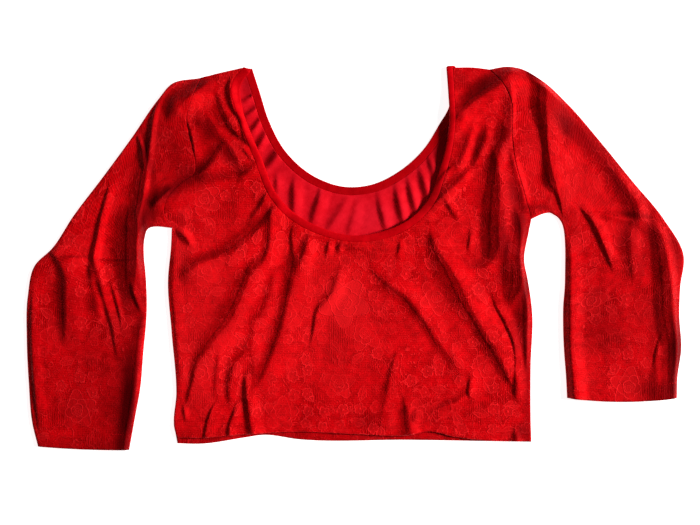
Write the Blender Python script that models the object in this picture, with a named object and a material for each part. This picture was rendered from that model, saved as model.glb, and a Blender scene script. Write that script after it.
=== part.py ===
"""A long-sleeved sari blouse in red stretch velvet, laid flat on a surface with its front up.

Five sewn pieces make it: the back underneath, the front over it, a sleeve at each side that is a flattened
tube, and one strip of binding round the neckline. Every size is in millimetres and becomes metres when a mesh
is made. x runs to the right and y towards the shoulders, as seen from above; left and right are as seen too.
"""

from collections import namedtuple

import bpy
import numpy as np
from mathutils import Vector
from mathutils.geometry import delaunay_2d_cdt

MM = 0.001
MIDDLE = np.array((-0.42, 1.19))

# Cloth, seams and hems
WALL = 1.5
MOST_STRETCH = 1.5
SEAM_GAP = 0.3
HEM_DEPTH = 16.0
HEM_RAMP = 2.0
HEM_RISE = 0.4
BACK_BINDING_WIDTH = 8.2
NECK_LIFT = 3.4
NECK_LIFT_REACH = 20.0
NECK_LIFT_TOP = 172.0
NECK_LIFT_FADE = 40.0

# Mesh spacing
EDGE_STEP = 10.0
FINE_STEP = 8.0
FINE_BEND = 0.22
ARMHOLE_STEPS = 10
SLEEVE_STEP = 15.0
FOLD_STEP = 5.0
SOFTEST_BAND = 8.0
FOLD_BLEND = 2.5
CAP_FADE_ROWS = 0.22
TURN_ANGLES = np.radians((45.0, 90.0, 135.0))

# Outlines of the flat body, columns x, y
SHOULDER_LEFT = ((-116, 193), (-134, 190.5), (-157.5, 184.5))
ARMHOLE_LEFT = (
    (-157.5, 184.5), (-166, 163), (-172, 142), (-168, 121.5), (-163, 98), (-163.5, 88.5),
    (-179, 76.5), (-192.5, 59), (-195, 50), (-193, 41), (-187, 31.5),
)
SIDE_LEFT = (
    (-187, 31.5), (-188, 12), (-191, -21.5), (-187.5, -72.5), (-182.5, -135.5), (-184, -174.5),
)
HEM_BACK = (
    (-181.5, -188), (-158.5, -188.5), (-112.5, -182), (-95.5, -179.5), (-56.5, -184),
    (55.5, -184.5), (122, -185.5), (179, -186.5),
)
HEM_FRONT = (
    (-181.5, -182), (-155.5, -182), (-112.5, -178.5), (-56.5, -176), (4.5, -178.5), (54.5, -179),
    (73, -175.5), (100.5, -181), (136, -185), (179, -185.5),
)
SIDE_RIGHT = (
    (179, -186), (178.5, -164), (178.5, -108), (180, -54), (175, -18.5), (172, -3), (176.5, 27.5),
    (179, 40.5),
)
ARMHOLE_RIGHT = (
    (136, 193), (143.5, 185.5), (151.5, 174.5), (158, 160), (159, 126.5), (163, 96), (171, 68.5),
    (179, 40.5),
)
SHOULDER_RIGHT = ((136, 193), (121, 195), (101, 196))

# Middle line of the neck binding, columns x, y, width
BINDING_FRONT = (
    (-110.7, 192.3, 8.7), (-119.3, 179.5, 10.6), (-122.7, 164.2, 8.7), (-117, 145.9, 7.1),
    (-108.9, 124.4, 8), (-98.1, 98.9, 8), (-85.2, 66.8, 8), (-67.3, 45.9, 8), (-39.3, 29.6, 7.7),
    (-1.9, 20.5, 6.7), (29.1, 24.6, 8), (57.6, 37.9, 8.2), (77.5, 59.7, 8.2), (87.7, 86.2, 8),
    (95.3, 114.2, 8), (98.9, 141.8, 6.6), (98.6, 166.3, 8), (96.9, 194.8, 9),
)
BINDING_BACK = (
    (-109.1, 192.3), (-101.5, 168.6), (-92, 139.1), (-74.2, 106.7), (-43.4, 80.2), (-10.1, 69.4),
    (18.3, 72.1), (48.8, 87.4), (72.7, 109.5), (88.6, 134.6), (99.5, 155), (100.8, 168),
    (97.9, 194.8),
)

# Sleeve sections, columns outer x, outer y, inner x, inner y, from the armhole to the cuff
SLEEVE_LEFT = (
    (-157.5, 184.5, -187, 31.5), (-187, 178.5, -203, 33), (-201.5, 162, -210, 31.5),
    (-227, 125, -215, 20), (-257, 84, -215.5, 3), (-288, 43, -214, -13), (-309, 11, -213, -28),
    (-327, -7, -212.5, -42), (-334, -38, -213, -62), (-335, -81, -216, -94),
    (-333, -125, -219, -130), (-329, -169, -225, -164), (-323.5, -191, -230.5, -194.5),
)
SLEEVE_RIGHT = (
    (136, 193, 179, 40.5), (155.5, 196, 190, 45.5), (168, 194, 196, 47), (189, 182.5, 202, 45),
    (217, 157, 208, 40), (249.5, 119.5, 212, 30), (282, 79.5, 213.5, 12), (314.5, 40, 213.5, -10),
    (334.5, 3, 213, -30), (331, -28.5, 211.5, -50), (330, -58, 211.5, -72),
    (332, -91, 212.5, -95), (328, -121.5, 214.5, -121), (327.5, -141.5, 215.5, -141.5),
)
CUFF_BOW_LEFT = 1.0
CUFF_BOW_RIGHT = 4.0

# Folds, one row each. A station's columns are x, y, the width of the steep band and its rise. The crest lies on
# the left hand of someone who walks the stations, and runs out over the fall.
Fold = namedtuple("Fold", "name fall stations")
BODY_FOLDS = (
    Fold("neck to side", 26, (
        (-87, 61, 7, 0), (-91, 46, 9, 4), (-118, 19, 10, 5), (-146, 2, 9, 3.5), (-183, -19, 8, 0),
    )),
    Fold("long side", 28, (
        (-107, 1, 6, 0), (-120, -30, 10, 4.5), (-136, -63, 12, 5), (-163, -101, 8, 4),
        (-175, -148, 6, 0),
    )),
    Fold("second", 16, ((-91, 31, 4, 0), (-92, 16, 6, 3), (-98, 2, 7, 3.5), (-106, -11, 6, 0))),
    Fold("long middle", 30, (
        (-64, 38, 4, 0), (-64, 5, 5, 3), (-72, -42, 8, 5), (-94, -109, 7, 4.5), (-108, -137, 5, 0),
    )),
    Fold("neck gather", 12, ((-49, 29, 4, 0), (-53, 16, 5, 3), (-57, 2, 6, 3.5), (-63, -11, 5, 0))),
    Fold("middle left", 16, ((-16, -1, 5, 0), (-25, -28, 6, 2.2), (-43, -62, 4, 2.2), (-48, -89, 3, 0))),
    Fold("middle right", 20, (
        (13, -5, 5, 0), (36, -31, 7, 2), (63, -61, 8, 3.2), (82, -84, 6, 2.8), (110, -126, 5, 0),
    )),
    Fold("right main", 30, (
        (76, 34, 6, 0), (81, 5, 9, 4), (103, -36, 14, 6.5), (128, -74, 9, 6), (159, -132, 5, 0),
    )),
    Fold("underarm upper", 14, (
        (138, 116, 4, 0), (138, 89, 14, 6), (137, 50, 17, 8), (137, 9, 14, 6), (137, -3, 8, 0),
    )),
    Fold("underarm middle", 12, ((154, 32, 6, 0), (157, 3, 18, 7), (157, -26, 15, 6), (154, -39, 8, 0))),
    Fold("underarm lower", 8, ((171, -28, 5, 0), (170, -62, 9, 4.5), (176, -115, 4, 0))),
    Fold("right side", 14, ((138, -30, 3, 0), (150, -60, 4, 2.2), (162, -90, 4, 2.5), (163, -146, 3, 0))),
    Fold("hem right", 22, ((42, -91, 4, 0), (35, -116, 5, 3), (28, -144, 5, 3), (23, -181, 3, 0))),
    Fold("hem valley", 14, ((47, -146, 4, 0), (48, -168, 9, 4), (49, -181, 8, 4))),
    Fold("hem pleat", 16, ((-115, -117, 2, 0), (-113, -148, 5, 5), (-109, -181, 10, 5))),
    Fold("hem left", 13, (
        (-120, -93, 4, 0), (-130, -117, 6, 3.5), (-133, -141, 5, 2.8), (-132, -153, 4, 0),
    )),
    Fold("left side roll", 14, (
        (-185, 23, 4, 0), (-189, -24, 5, 3), (-184, -83, 4, 2.5), (-180, -144, 3, 0),
    )),
    Fold("right strap", 24, ((148, 194, 8, 4), (136, 178, 12, 7), (120, 162, 10, 5), (104, 150, 6, 0))),
    Fold("right chest", 8, ((117, 134, 4, 0), (108, 111, 8, 3), (96, 93, 4, 0))),
    Fold("left shoulder", 16, ((-149, 181, 5, 0), (-161, 176, 8, 3), (-184, 162, 5, 0))),
    Fold("left strap outer", 6, ((-145, 172, 3, 0), (-136, 145, 8, 4), (-112, 118, 4, 0))),
    Fold("left strap inner", 10, (
        (-129, 183, 3, 0), (-131, 170, 5, 2.5), (-125, 148, 6, 3), (-115, 128, 4, 0),
    )),
    Fold("left arch", 12, ((-136, 117, 5, 0), (-146, 101, 7, 4), (-162, 85, 5, 0))),
)
SLEEVE_FOLDS = (
    Fold("left top ridge", 9, (
        (-199, 170, 3, 1), (-207, 144, 6, 6), (-213, 109, 7, 7.5), (-225, 32, 5, 0),
    )),
    Fold("left broad", 14, (
        (-223, 128, 3, 0), (-220, 101, 8, 5), (-234, 38, 20, 8), (-235, 1, 20, 7.5), (-226, -44, 7, 0),
    )),
    Fold("left forearm", 12, (
        (-252, 76, 2, 0), (-266, 13, 4, 3.2), (-269, -11, 6, 3.5), (-240, -104, 3, 0),
    )),
    Fold("left elbow", 24, ((-312, 8, 3, 0), (-302, -10, 8, 5.5), (-300, -35, 8, 5.5), (-301, -95, 4, 0))),
    Fold("left inner edge", 9, (
        (-222, -54, 3, 0), (-226, -85, 8, 5), (-233, -140, 9, 6.5), (-240, -199, 10, 5),
    )),
    Fold("left underarm", 10, ((-188, 73, 5, 0), (-206, 60, 8, 3.5), (-213, 54, 6, 0))),
    Fold("right deep", 12, (
        (172, 191, 4, 2), (185, 174, 9, 8), (186, 147, 14, 9), (194, 95, 9, 7), (211, 42, 3, 0),
    )),
    Fold("right outer upper", 14, (
        (199, 164, 4, 0), (219, 136, 9, 2.5), (272, 66, 10, 4.5), (286, 32, 6, 0),
    )),
    Fold("right elbow", 14, ((221, 55, 2, 0), (237, 45, 5, 3.5), (251, 18, 5, 4.2), (264, -14, 2, 0))),
    Fold("right outer lower", 10, (
        (300, 38, 6, 0), (305, 11, 9, 5), (313, -47, 13, 6.5), (322, -95, 10, 5), (313, -144, 18, 4),
    )),
    Fold("right inner edge", 20, (
        (216, 23, 3, 0), (217, -13, 6, 5), (217, -67, 8, 6), (221, -144, 9, 6.5),
    )),
)

# Ribs of the inner back between its own binding and the front one
NECK_RIBS = (
    Fold("rib 1", 8, ((-100, 149, 3, 0), (-106, 141, 4, 2), (-111, 132, 3, 0))),
    Fold("rib 2", 9, ((-94, 133, 3, 0), (-98, 125, 5, 2.2), (-104, 117, 3, 0))),
    Fold("rib 3", 9, ((-84, 111, 3, 0), (-87, 103, 8, 2.4), (-93, 93, 4, 0))),
    Fold("rib 4", 9, ((-82, 89, 3, 0), (-82, 78, 4, 1.8), (-81, 64, 3, 0))),
    Fold("rib 5", 12, ((-64, 87, 3, 0), (-65, 62, 5, 2.6), (-65, 40, 4, 0))),
    Fold("rib 6", 13, ((-36, 76, 3, 0), (-42, 54, 5, 2.6), (-48, 30, 4, 0))),
    Fold("rib 7", 14, ((-9, 68, 4, 0), (-21, 44, 7, 2), (-34, 21, 4, 0))),
    Fold("rib 8", 13, ((3, 66, 4, 0), (-4, 43, 6, 1.8), (-10, 19, 4, 0))),
    Fold("rib 9", 12, ((21, 70, 4, 0), (26, 45, 5, 2.2), (32, 21, 4, 0))),
    Fold("rib 10", 11, ((39, 79, 3, 0), (44, 53, 5, 2.6), (52, 28, 4, 0))),
    Fold("rib 11", 10, ((52, 86, 3, 0), (57, 61, 5, 2.6), (64, 38, 4, 0))),
    Fold("rib 12", 9, ((64, 96, 3, 0), (69, 75, 6, 2.6), (75, 54, 4, 0))),
    Fold("rib 13", 8, ((73, 106, 3, 0), (76, 96, 5, 2.2), (79, 83, 4, 0))),
)

Finish = namedtuple("Finish", "colour roughness")
VELVET = Finish((0.60, 0.004, 0.010), 0.75)
KNIT = Finish((0.66, 0.010, 0.030), 0.80)
BINDING = Finish((0.52, 0.003, 0.008), 0.70)


def smooth_curve(rows, step=None, count=None):
    """Even points on a smooth curve through the rows. Columns after x and y follow along."""
    rows = np.asarray(rows, float)
    knots = np.concatenate([[0.0], np.cumsum(np.hypot(*np.diff(rows[:, :2], axis=0).T))])
    slopes = np.gradient(rows, knots, axis=0)
    if count is None:
        count = max(2, round(knots[-1] / step) + 1)
    along = np.linspace(0.0, knots[-1], count)
    first = np.clip(np.searchsorted(knots, along, side="right") - 1, 0, len(knots) - 2)
    span = (knots[first + 1] - knots[first])[:, None]
    f = (along - knots[first])[:, None] / span
    keep = 2 * f**3 - 3 * f**2 + 1
    lead = (f**3 - 2 * f**2 + f) * span
    arrive = (f**3 - f**2) * span
    places = keep * rows[first] + (1 - keep) * rows[first + 1]
    return places + lead * slopes[first] + arrive * slopes[first + 1]


def left_normals(line):
    """Unit vectors to the left hand of someone who walks the line."""
    along = np.gradient(line[:, :2], axis=0)
    along /= np.hypot(along[:, 0], along[:, 1])[:, None]
    return np.column_stack([-along[:, 1], along[:, 0]])


def smoothstep(value):
    value = np.clip(value, 0.0, 1.0)
    return value * value * (3 - 2 * value)


def to_segments(points, line):
    """Share along, offset vectors and distances from each point to each segment of a line."""
    start, end = line[:-1, :2], line[1:, :2]
    run = end - start
    share = ((points[:, None, :] - start) * run).sum(2) / (run**2).sum(1)
    share = np.clip(share, 0.0, 1.0)
    offset = points[:, None, :] - start - share[..., None] * run
    return share, offset, np.hypot(offset[..., 0], offset[..., 1])


def distance_to(points, line):
    return to_segments(points, line)[2].min(axis=1)


def fold_height(points, fold):
    """Height that one fold gives the points: a steep band up to the crest, then a long soft fall."""
    path = smooth_curve(fold.stations, FOLD_STEP)
    path[:, 2] = np.maximum(path[:, 2], SOFTEST_BAND)
    path[:, 3] = np.maximum(path[:, 3], 0.0)
    height = np.zeros(len(points))
    reach = fold.fall + path[:, 2].max()
    low, high = path[:, :2].min(axis=0) - reach, path[:, :2].max(axis=0) + reach
    near = np.flatnonzero(((points > low) & (points < high)).all(axis=1))
    if not len(near):
        return height
    share, offset, distance = to_segments(points[near], path)
    run = np.diff(path[:, :2], axis=0)
    side = np.sign(run[:, 0] * offset[..., 1] - run[:, 1] * offset[..., 0])
    weight = np.exp(-(distance - distance.min(axis=1)[:, None]) / FOLD_BLEND)
    weight /= weight.sum(axis=1)[:, None]
    band, rise = (
        (weight * (path[:-1, column] + share * np.diff(path[:, column]))).sum(axis=1)
        for column in (2, 3)
    )
    signed = (weight * side * distance).sum(axis=1)
    climb = smoothstep(signed / band + 0.5)
    past_crest = np.clip((signed - band / 2) / fold.fall, 0.0, 1.0)
    height[near] = rise * climb * 0.5 * (1 + np.cos(np.pi * past_crest))
    return height


def stretched(surface, points):
    """Upright thickness that keeps the wall's own thickness on a slope."""
    slopes = [(surface(points + step) - surface(points - step)) / 2 for step in np.eye(2)]
    return WALL * np.minimum(np.sqrt(1 + slopes[0] ** 2 + slopes[1] ** 2), MOST_STRETCH)


def back_under(points):
    return sum(fold_height(points, rib) for rib in NECK_RIBS)


def back_top(points):
    return back_under(points) + stretched(back_under, points)


def neck_lift(points):
    """The front's neck edge rides on the ribs of the back."""
    fade = smoothstep((NECK_LIFT_TOP - points[:, 1]) / NECK_LIFT_FADE)
    away = np.clip(distance_to(points, smooth_curve(BINDING_FRONT, EDGE_STEP)) / NECK_LIFT_REACH, 0.0, 1.0)
    return NECK_LIFT * fade * 0.5 * (1 + np.cos(np.pi * away))


def front_under(points):
    folds = sum(fold_height(points, fold) for fold in BODY_FOLDS + SLEEVE_FOLDS)
    return WALL + SEAM_GAP + folds + neck_lift(points)


def front_top(points):
    return front_under(points) + stretched(front_under, points)


def hem_rise(points, hem_line):
    return HEM_RISE * smoothstep((HEM_DEPTH - distance_to(points, hem_line)) / HEM_RAMP)


def inside(points, outline):
    """Which points an outline holds, by the crossings of a ray to the right."""
    x, y = points[:, None, 0], points[:, None, 1]
    x0, y0 = outline.T
    x1, y1 = np.roll(outline, -1, axis=0).T
    straddles = (y0 > y) != (y1 > y)
    rise = np.where(y1 == y0, 1.0, y1 - y0)
    crossing = x0 + (y - y0) * (x1 - x0) / rise
    return (straddles & (x < crossing)).sum(axis=1) % 2 == 1


def lattice(outline, surface, rows):
    """Points inside an outline: close together where the surface bends, twice as far apart elsewhere."""
    low, high = outline.min(axis=0), outline.max(axis=0)
    lift = FINE_STEP * np.sqrt(0.75)
    columns = np.arange(int((high[0] - low[0]) / FINE_STEP * 1.6) + 2)
    lines = np.arange(int((high[1] - low[1]) / lift) + 2)
    across, up = np.meshgrid(columns, lines)
    across, up = across.ravel(), up.ravel()
    start = low[0] - 0.5 * FINE_STEP * lines[-1]
    points = np.column_stack([start + FINE_STEP * (across + 0.5 * up), low[1] + lift * up])
    keep = inside(points, outline)
    points, coarse = points[keep], ((across % 2 == 0) & (up % 2 == 0))[keep]
    ring = [FINE_STEP * np.array((np.cos(a), np.sin(a))) for a in np.radians(np.arange(0, 360, 60))]
    bend = np.abs(sum(surface(points + step) for step in ring) / len(ring) - surface(points))
    points = points[coarse | (bend > FINE_BEND)]
    closed_outline = np.vstack([outline, outline[:1]])
    points = points[distance_to(points, closed_outline) > 0.5 * FINE_STEP]
    if not len(rows):
        return points
    apart = np.hypot(*(points[:, None, :] - rows).transpose(2, 0, 1)).min(axis=1)
    return points[apart > 0.6 * FINE_STEP]


def cloth_object(name, points, faces, finish):
    """A mesh object in metres from points in millimetres."""
    place = np.array(points, float)
    place[:, :2] -= MIDDLE
    mesh = bpy.data.meshes.new(name)
    mesh.from_pydata((place * MM).tolist(), [], faces)
    mesh.validate()
    mesh.shade_smooth()
    mesh.set_sharp_from_angle(angle=np.radians(50))
    material = bpy.data.materials.new(name)
    material.use_nodes = True
    shader = material.node_tree.nodes["Principled BSDF"]
    shader.inputs["Base Color"].default_value = (*finish.colour, 1.0)
    shader.inputs["Roughness"].default_value = finish.roughness
    shader.inputs["Metallic"].default_value = 0.0
    mesh.materials.append(material)
    made = bpy.data.objects.new(name, mesh)
    bpy.context.scene.collection.objects.link(made)
    return made


def hem_rows(hem_line):
    """Rows of points at the top of a turned-up hem, where the cloth steps up to its second layer."""
    normals = left_normals(hem_line)
    return np.vstack([hem_line[1:-1, :2] + depth * normals[1:-1] for depth in (HEM_DEPTH, HEM_DEPTH - HEM_RAMP)])


def make_panel(name, edges, rows, under, top, finish):
    """A flat-cut piece: triangles between its edges, once on the underside and once on top, and a rim."""
    outline = np.vstack([edge[:-1, :2] for edge in edges])
    flat = np.vstack([outline, rows, lattice(outline, top, rows)])
    flat, _, triangles, *_ = delaunay_2d_cdt(
        [Vector(point) for point in flat], [], [list(range(len(outline)))], 1, 1e-4
    )
    flat = np.array(flat)
    count = len(flat)
    lower = np.column_stack([flat, under(flat)])
    upper = np.column_stack([flat, top(flat)])
    faces = [tuple(t) for t in triangles] + [tuple(i + count for i in reversed(t)) for t in triangles]
    sides = {pair for t in triangles for pair in ((t[0], t[1]), (t[1], t[2]), (t[2], t[0]))}
    faces += [(b, a, a + count, b + count) for a, b in sides if (b, a) not in sides]
    return cloth_object(name, np.vstack([upper, lower]), faces, finish)


def sleeve_grid(sections, armhole, cuff_bow):
    """Plan points of a sleeve, rows from the armhole to the cuff and columns from the outer to the inner edge."""
    rows = smooth_curve(sections, SLEEVE_STEP)
    share = np.linspace(0.0, 1.0, len(armhole))[:, None]
    chord = (1 - share) * armhole[0] + share * armhole[-1]
    grid = []
    for number, (outer_x, outer_y, inner_x, inner_y) in enumerate(rows):
        place = number / (len(rows) - 1)
        cap = 1 - smoothstep(place / CAP_FADE_ROWS)
        straight = (1 - share) * (outer_x, outer_y) + share * (inner_x, inner_y)
        bow = cuff_bow * smoothstep((place - 0.8) / 0.2) * 4 * share * (1 - share)
        grid.append(straight + cap * (armhole - chord) - bow * (0.0, 1.0))
    grid[0] = armhole
    return np.array(grid)


def make_sleeve(name, sections, armhole, cuff_bow, finish):
    """A flattened tube: an outer ring and an inner ring at each section, joined at the armhole and the cuff."""
    outer = sleeve_grid(sections, armhole, cuff_bow)
    inner = outer.copy()
    for edge, neighbour in ((0, 1), (-1, -2)):
        inward = outer[:, neighbour] - outer[:, edge]
        inner[:, edge] += WALL * inward / np.hypot(inward[:, 0], inward[:, 1])[:, None]
    rows, columns = outer.shape[:2]
    cuff_line = outer[-1]

    def placed(grid, height):
        flat = grid.reshape(-1, 2)
        return np.column_stack([flat, height(flat)]).reshape(rows, columns, 3)

    def level(value):
        return lambda flat: np.full(len(flat), value)

    upper = placed(outer, lambda flat: front_top(flat) + hem_rise(flat, cuff_line))
    ceiling = placed(inner, front_under)
    floor = placed(inner, level(WALL))
    lower = placed(outer, level(0.0))
    outside = np.concatenate([upper, lower[:, ::-1]], axis=1)
    lining = np.concatenate([ceiling, floor[:, ::-1]], axis=1)
    points = np.vstack([outside.reshape(-1, 3), lining.reshape(-1, 3)])
    ring = 2 * columns
    shift = rows * ring
    faces = []
    for column in range(ring):
        after = (column + 1) % ring
        for row in range(rows - 1):
            a, b = row * ring + column, row * ring + after
            c, d = b + ring, a + ring
            faces += [(a, b, c, d), (d + shift, c + shift, b + shift, a + shift)]
        last = (rows - 1) * ring
        faces.append((after, column, column + shift, after + shift))
        faces.append((column + last, after + last, after + last + shift, column + last + shift))
    made = cloth_object(name, points, faces, finish)
    if outer[:, :, 0].mean() < 0:
        made.data.flip_normals()
    return made


def edge_rows(line, widths):
    """Outer, middle and inner points of a strip whose neck side is on the left hand."""
    normals = left_normals(line) * widths[:, None] / 2
    return np.stack([line[:, :2] - normals, line[:, :2], line[:, :2] + normals], axis=1)


def make_binding(front_line, back_line, finish):
    """One closed strip: down the front neckline, over the right shoulder, along the back and over the left one."""
    front = edge_rows(front_line, front_line[:, 2])
    back = edge_rows(back_line, np.full(len(back_line), BACK_BINDING_WIDTH))[::-1]
    stations = []

    def lay(strip, under, top):
        for row in strip:
            stations.append((np.column_stack([row, top(row)]), np.column_stack([row, under(row)])))

    def turn(start, end, angles):
        middles = [np.column_stack([start, front_under(start) + WALL / 2])]
        middles.append(np.column_stack([end, np.full(len(end), WALL / 2)]))
        radius = (middles[0][:, 2] - middles[1][:, 2])[:, None] / 2
        for angle in angles:
            share = (1 - np.cos(angle)) / 2
            spoke = np.array((0.0, np.sin(angle), np.cos(angle)))
            centre = (1 - share) * middles[0] + share * middles[1]
            centre[:, 2] = (middles[0][:, 2] + middles[1][:, 2]) / 2
            stations.append((centre + (radius + WALL / 2) * spoke, centre + (radius - WALL / 2) * spoke))

    lay(front, front_under, front_top)
    turn(front[-1], back[0], TURN_ANGLES)
    lay(back, lambda row: np.full(len(row), WALL), lambda row: np.zeros(len(row)))
    turn(front[0], back[-1], TURN_ANGLES[::-1])
    points = np.vstack([np.vstack([outside, inside_row[::-1]]) for outside, inside_row in stations])
    ring = 6
    faces = []
    for row in range(len(stations)):
        following = (row + 1) % len(stations)
        for column in range(ring):
            after = (column + 1) % ring
            faces.append(
                (row * ring + column, following * ring + column, following * ring + after, row * ring + after)
            )
    return cloth_object("neck_binding", points, faces, finish)


def remove_everything():
    for old in list(bpy.data.objects):
        bpy.data.objects.remove(old)


def main():
    remove_everything()
    front_line = smooth_curve(BINDING_FRONT, EDGE_STEP)
    back_line = smooth_curve(BINDING_BACK, EDGE_STEP)
    armhole_left = smooth_curve(ARMHOLE_LEFT, count=ARMHOLE_STEPS + 1)
    armhole_right = smooth_curve(ARMHOLE_RIGHT, count=ARMHOLE_STEPS + 1)

    hem_back = smooth_curve(HEM_BACK, EDGE_STEP)
    hem_front = smooth_curve(HEM_FRONT, EDGE_STEP)

    def hemmed_front_top(flat):
        return front_top(flat) + hem_rise(flat, hem_front)

    def panel_edges(neck_line, half_widths, hem_line):
        neck = neck_line[:, :2] - left_normals(neck_line) * (half_widths + SEAM_GAP)[:, None]
        shoulder_left = smooth_curve((tuple(neck[0]), *SHOULDER_LEFT[1:]), EDGE_STEP)
        shoulder_right = smooth_curve((SHOULDER_RIGHT[0], SHOULDER_RIGHT[1], tuple(neck[-1])), EDGE_STEP)
        side_left = smooth_curve((*SIDE_LEFT, tuple(hem_line[0])), EDGE_STEP)
        side_right = smooth_curve((tuple(hem_line[-1]), *SIDE_RIGHT[1:]), EDGE_STEP)
        left = [shoulder_left, armhole_left, side_left]
        return [*left, hem_line, side_right, armhole_right[::-1], shoulder_right, neck[::-1]]

    back_halves = np.full(len(back_line), BACK_BINDING_WIDTH / 2)
    edges = panel_edges(back_line, back_halves, hem_back)
    make_panel("back", edges, np.empty((0, 2)), back_under, back_top, KNIT)
    edges = panel_edges(front_line, front_line[:, 2] / 2, hem_front)
    make_panel("front", edges, hem_rows(hem_front), front_under, hemmed_front_top, VELVET)
    cap_left = armhole_left - SEAM_GAP * left_normals(armhole_left)
    cap_right = armhole_right + SEAM_GAP * left_normals(armhole_right)
    make_sleeve("sleeve_left", SLEEVE_LEFT, cap_left, CUFF_BOW_LEFT, VELVET)
    make_sleeve("sleeve_right", SLEEVE_RIGHT, cap_right, CUFF_BOW_RIGHT, VELVET)
    make_binding(front_line, back_line, BINDING)


main()
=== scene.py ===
"""Looks of a long-sleeved sari blouse in embossed red velvet that lies flat, front up, on a pale floor.

The CAD frame gives the five sewn pieces as stiff walls. Here each one is a finer shell on the same form,
with every crease of the cloth, a rounded edge, an embossed pile and its stitches. Sizes are in millimetres
and become metres when a mesh is made; x runs to the right and y towards the shoulders, as seen from above.
"""

import logging
from collections.abc import Sequence
from dataclasses import dataclass, field
from enum import Enum
from typing import ClassVar

import bpy
import numpy as np
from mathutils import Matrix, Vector
from mathutils.geometry import delaunay_2d_cdt


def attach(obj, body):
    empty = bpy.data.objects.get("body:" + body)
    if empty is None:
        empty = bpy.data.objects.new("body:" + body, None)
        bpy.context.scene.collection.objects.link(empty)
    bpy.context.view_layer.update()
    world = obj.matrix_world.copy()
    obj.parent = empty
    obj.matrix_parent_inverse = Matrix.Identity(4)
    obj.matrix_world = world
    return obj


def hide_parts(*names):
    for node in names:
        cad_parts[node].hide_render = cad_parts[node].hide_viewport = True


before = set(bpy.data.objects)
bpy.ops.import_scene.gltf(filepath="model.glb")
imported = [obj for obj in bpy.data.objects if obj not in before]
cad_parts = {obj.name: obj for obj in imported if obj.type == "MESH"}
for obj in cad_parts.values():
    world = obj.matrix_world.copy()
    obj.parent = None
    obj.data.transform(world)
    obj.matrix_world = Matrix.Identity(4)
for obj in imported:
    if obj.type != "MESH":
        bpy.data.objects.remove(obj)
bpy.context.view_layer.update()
LOG = logging.getLogger("sari_blouse")

MM = 0.001
MIDDLE = np.array((-0.42, 1.19))
BODY = "root"
CLOTH_MAP = "cloth"
# Attribute that carries painted shade (creases, seam grooves, the back's hem, patches) and, below 0, painted
# light
PAINTED_LIGHT_AND_SHADE = "painted_light_and_shade"
FULL_TURN = 6.283

# Cloth, seams and hems
WALL = 1.5
SEAM_GAP = 0.3
SEAM_LAP = 0.05
SLEEVE_MIDDLE = WALL + SEAM_GAP / 2
HEM_DEPTH = 16.0
HEM_RISE = 0.4
HEM_RISE_RUN = 2.0
HEM_DIP = 0.4
HEM_TOP = -168.0
GROOVE_HALF = 1.3
GROOVE_DEPTH = 0.12
BACK_BINDING_WIDTH = 8.2
STITCH_PROUD = 0.1
HEM_ENDS = 3

# Lift of the front's neck edge: height, reach across, end at the shoulders, and lower part in front
NECK_LIFT = 3.4
NECK_LIFT_REACH = 20.0
NECK_LIFT_TOP = 180.0
NECK_LIFT_FADE = 34.0
NECK_LIFT_LOW = 0.45
NECK_LIFT_LOW_TOP = 80.0
NECK_LIFT_LOW_FADE = 40.0

# Form of the folds: their eased foot, what wide bands gain, where their painted crease shade lies, and faint
# waves with length, height and seed
TOE = 0.25
TOE_WIDE = 0.6
TOE_LEAST = 0.02
RISE_WIDE = 0.1
WIDE_BAND = (4.0, 9.0)
FOLD_SCALE = 0.993
FOLD_BLEND = 1.6
CREASE_FOOT = 0.15
CREASE_CREST = 0.4
CREASE_FADE = 1.2
CREASE_RISE = 3.0
WAVES = ((34.0, 0.7, 3), (15.0, 0.42, 8), (7.0, 0.16, 21))
HASH = (374761393, 668265263, 69069, 1274126177)
RIM_FREE = 6.0
RIM_SMOOTH = 20.0

# How dark the painted shade is in creases, in seam grooves and on the back's turned-up hem, and the width of
# the painted shadow line below the front's hem
CREASE_SHADE = 0.42
GROOVE_SHADE = 0.15
HEM_SHADE = 0.35
HEM_SHADOW = 2.0

# Rounded edges of the panels, weaker at seams
EDGE_ROUND = 2.2
EDGE_DROP = 0.65
SEAM_DROP = 0.1
SEAM_NEAR = 6.0
SEAM_FADE = 3.0

# Share of a sleeve's length over which its rows lose the curve of the armhole
CAP_FADE = 0.22

# Mesh spacing, and distances past which no more is measured
CURVE_STEP = 1.5
FOLD_STEP = 3.0
ROW_CLEAR = 0.9
LATTICE_CLEAR = 0.7
WELD = 1e-5
FAR = 25.0
NEAR_SEAM = 10.0
NEAR_HEM = 6.0
NEAR_EDGE = 4.0

Rows = tuple[tuple[float, ...], ...]
Colour = tuple[float, float, float]

# Outlines of the flat body, columns x, y
SHOULDER_LEFT: Rows = ((-116, 193), (-134, 190.5), (-157.5, 184.5))
ARMHOLE_LEFT: Rows = (
    (-157.5, 184.5), (-166, 163), (-172, 142), (-168, 121.5), (-163, 98), (-163.5, 88.5),
    (-179, 76.5), (-192.5, 59), (-195, 50), (-193, 41), (-187, 31.5),
)
SIDE_LEFT: Rows = (
    (-187, 31.5), (-188, 12), (-191, -21.5), (-187.5, -72.5), (-182.5, -135.5), (-184, -174.5),
)
HEM_BACK: Rows = (
    (-181.5, -188), (-158.5, -188.5), (-112.5, -182), (-95.5, -179.5), (-56.5, -184),
    (55.5, -184.5), (122, -185.5), (179, -186.5),
)
HEM_FRONT: Rows = (
    (-181.5, -182), (-155.5, -182), (-112.5, -178.5), (-56.5, -176), (4.5, -178.5), (54.5, -179),
    (73, -175.5), (100.5, -181), (136, -185), (179, -185.5),
)
SIDE_RIGHT: Rows = (
    (179, -186), (178.5, -164), (178.5, -108), (180, -54), (175, -18.5), (172, -3), (176.5, 27.5),
    (179, 40.5),
)
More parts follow.
